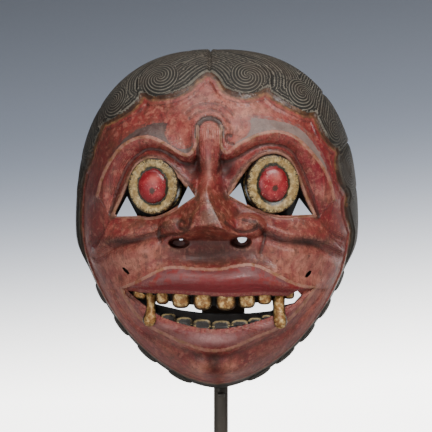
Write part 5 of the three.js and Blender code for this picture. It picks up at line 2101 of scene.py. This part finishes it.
def add_backdrop(stage):
    """Paper floor that bends up into a wall behind the mask."""
    wall = stage.paper_distance
    profile = [(BACKDROP_FRONT, 0.0)]
    for step in range(BEND_STEPS + 1):
        angle = step / BEND_STEPS * math.pi / 2
        height = BEND_RADIUS - BEND_RADIUS * math.cos(angle)
        profile.append((wall - BEND_RADIUS + BEND_RADIUS * math.sin(angle), height))
    profile.append((wall, BACKDROP_HIGH))
    points = []
    for along, height in profile:
        points += [(-BACKDROP_HALF, along, height), (BACKDROP_HALF, along, height)]
    faces = [[2 * row, 2 * row + 1, 2 * row + 3, 2 * row + 2] for row in range(len(profile) - 1)]
    mesh = bpy.data.meshes.new("backdrop")
    mesh.from_pydata(points, [], faces)
    mesh.shade_smooth()
    mesh.materials.append(backdrop_finish(stage))
    backdrop = place_in_scene("backdrop", mesh)


def add_light(values):
    """Soft square light aimed at the middle of the mask."""
    data = bpy.data.lights.new(values["name"], "AREA")
    for name in ("energy", "size", "color"):
        setattr(data, name, values[name])
    light = place_in_scene(values["name"], data)
    light.location = values["place"]
    aim = mathutils.Vector(MASK_MIDDLE) - mathutils.Vector(values["place"])
    light.rotation_euler = aim.to_track_quat("-Z", "Y").to_euler()


def add_world(scene):
    """Dim, even light from all around."""
    world = bpy.data.worlds.new("studio")
    world.use_nodes = True
    background = world.node_tree.nodes["Background"].inputs
    background["Color"].default_value = SKY_COLOUR
    background["Strength"].default_value = SKY_STRENGTH
    scene.world = world


def add_camera(scene, stage):
    """Camera square in front of the mask."""
    data = bpy.data.cameras.new("camera")
    data.lens = stage.lens
    data.sensor_width = SENSOR_WIDTH
    camera = place_in_scene("camera", data)
    middle_x, middle_y, middle_z = MASK_MIDDLE
    aside, above = CAMERA_SHIFT
    camera.location = (middle_x + aside, middle_y - stage.camera_distance, middle_z + above)
    camera.rotation_euler = (math.radians(90), 0.0, 0.0)
    scene.camera = camera


class TOPENG_OT_set_stage(Operator):
    """Set up the backdrop, the lights and the camera"""
    bl_idname = "topeng.set_stage"
    bl_label = "Set Stage"

    def execute(self, context):
        stage = context.scene.topeng_stage
        add_backdrop(stage)
        for values in LIGHTS:
            add_light(values)
        add_world(context.scene)
        add_camera(context.scene, stage)
        return {"FINISHED"}


class TOPENG_PT_panel(Panel):
    """Sidebar panel with the mask's operators and values"""
    bl_idname = "TOPENG_PT_panel"
    bl_label = "Topeng Mask"
    bl_space_type = "VIEW_3D"
    bl_region_type = "UI"
    bl_category = "Topeng Mask"

    def draw(self, context):
        layout = self.layout
        for operator in OPERATORS:
            layout.operator(operator.bl_idname)
        for values in (context.scene.topeng_mask, context.scene.topeng_stage, context.scene.topeng_paint):
            box = layout.box()
            for name in values.__annotations__:
                box.prop(values, name)


OPERATORS = (TOPENG_OT_carve_mask, TOPENG_OT_build_stand, TOPENG_OT_set_stage)
CLASSES = (MaskValues, PaintValues, StageValues, *OPERATORS, TOPENG_PT_panel)


def register():
    """Adds the classes and their values to Blender."""
    for entry in CLASSES:
        bpy.utils.register_class(entry)
    bpy.types.Scene.topeng_mask = PointerProperty(type=MaskValues)
    bpy.types.Scene.topeng_paint = PointerProperty(type=PaintValues)
    bpy.types.Scene.topeng_stage = PointerProperty(type=StageValues)


def unregister():
    """Takes the classes and their values out of Blender."""
    del bpy.types.Scene.topeng_stage
    del bpy.types.Scene.topeng_paint
    del bpy.types.Scene.topeng_mask
    for entry in reversed(CLASSES):
        bpy.utils.unregister_class(entry)


def main():
    """Builds the whole scene."""
    register()
    make_effects()
    bpy.ops.topeng.carve_mask()
    bpy.ops.topeng.build_stand()
    bpy.ops.topeng.set_stage()


if __name__ == "__main__":
    main()
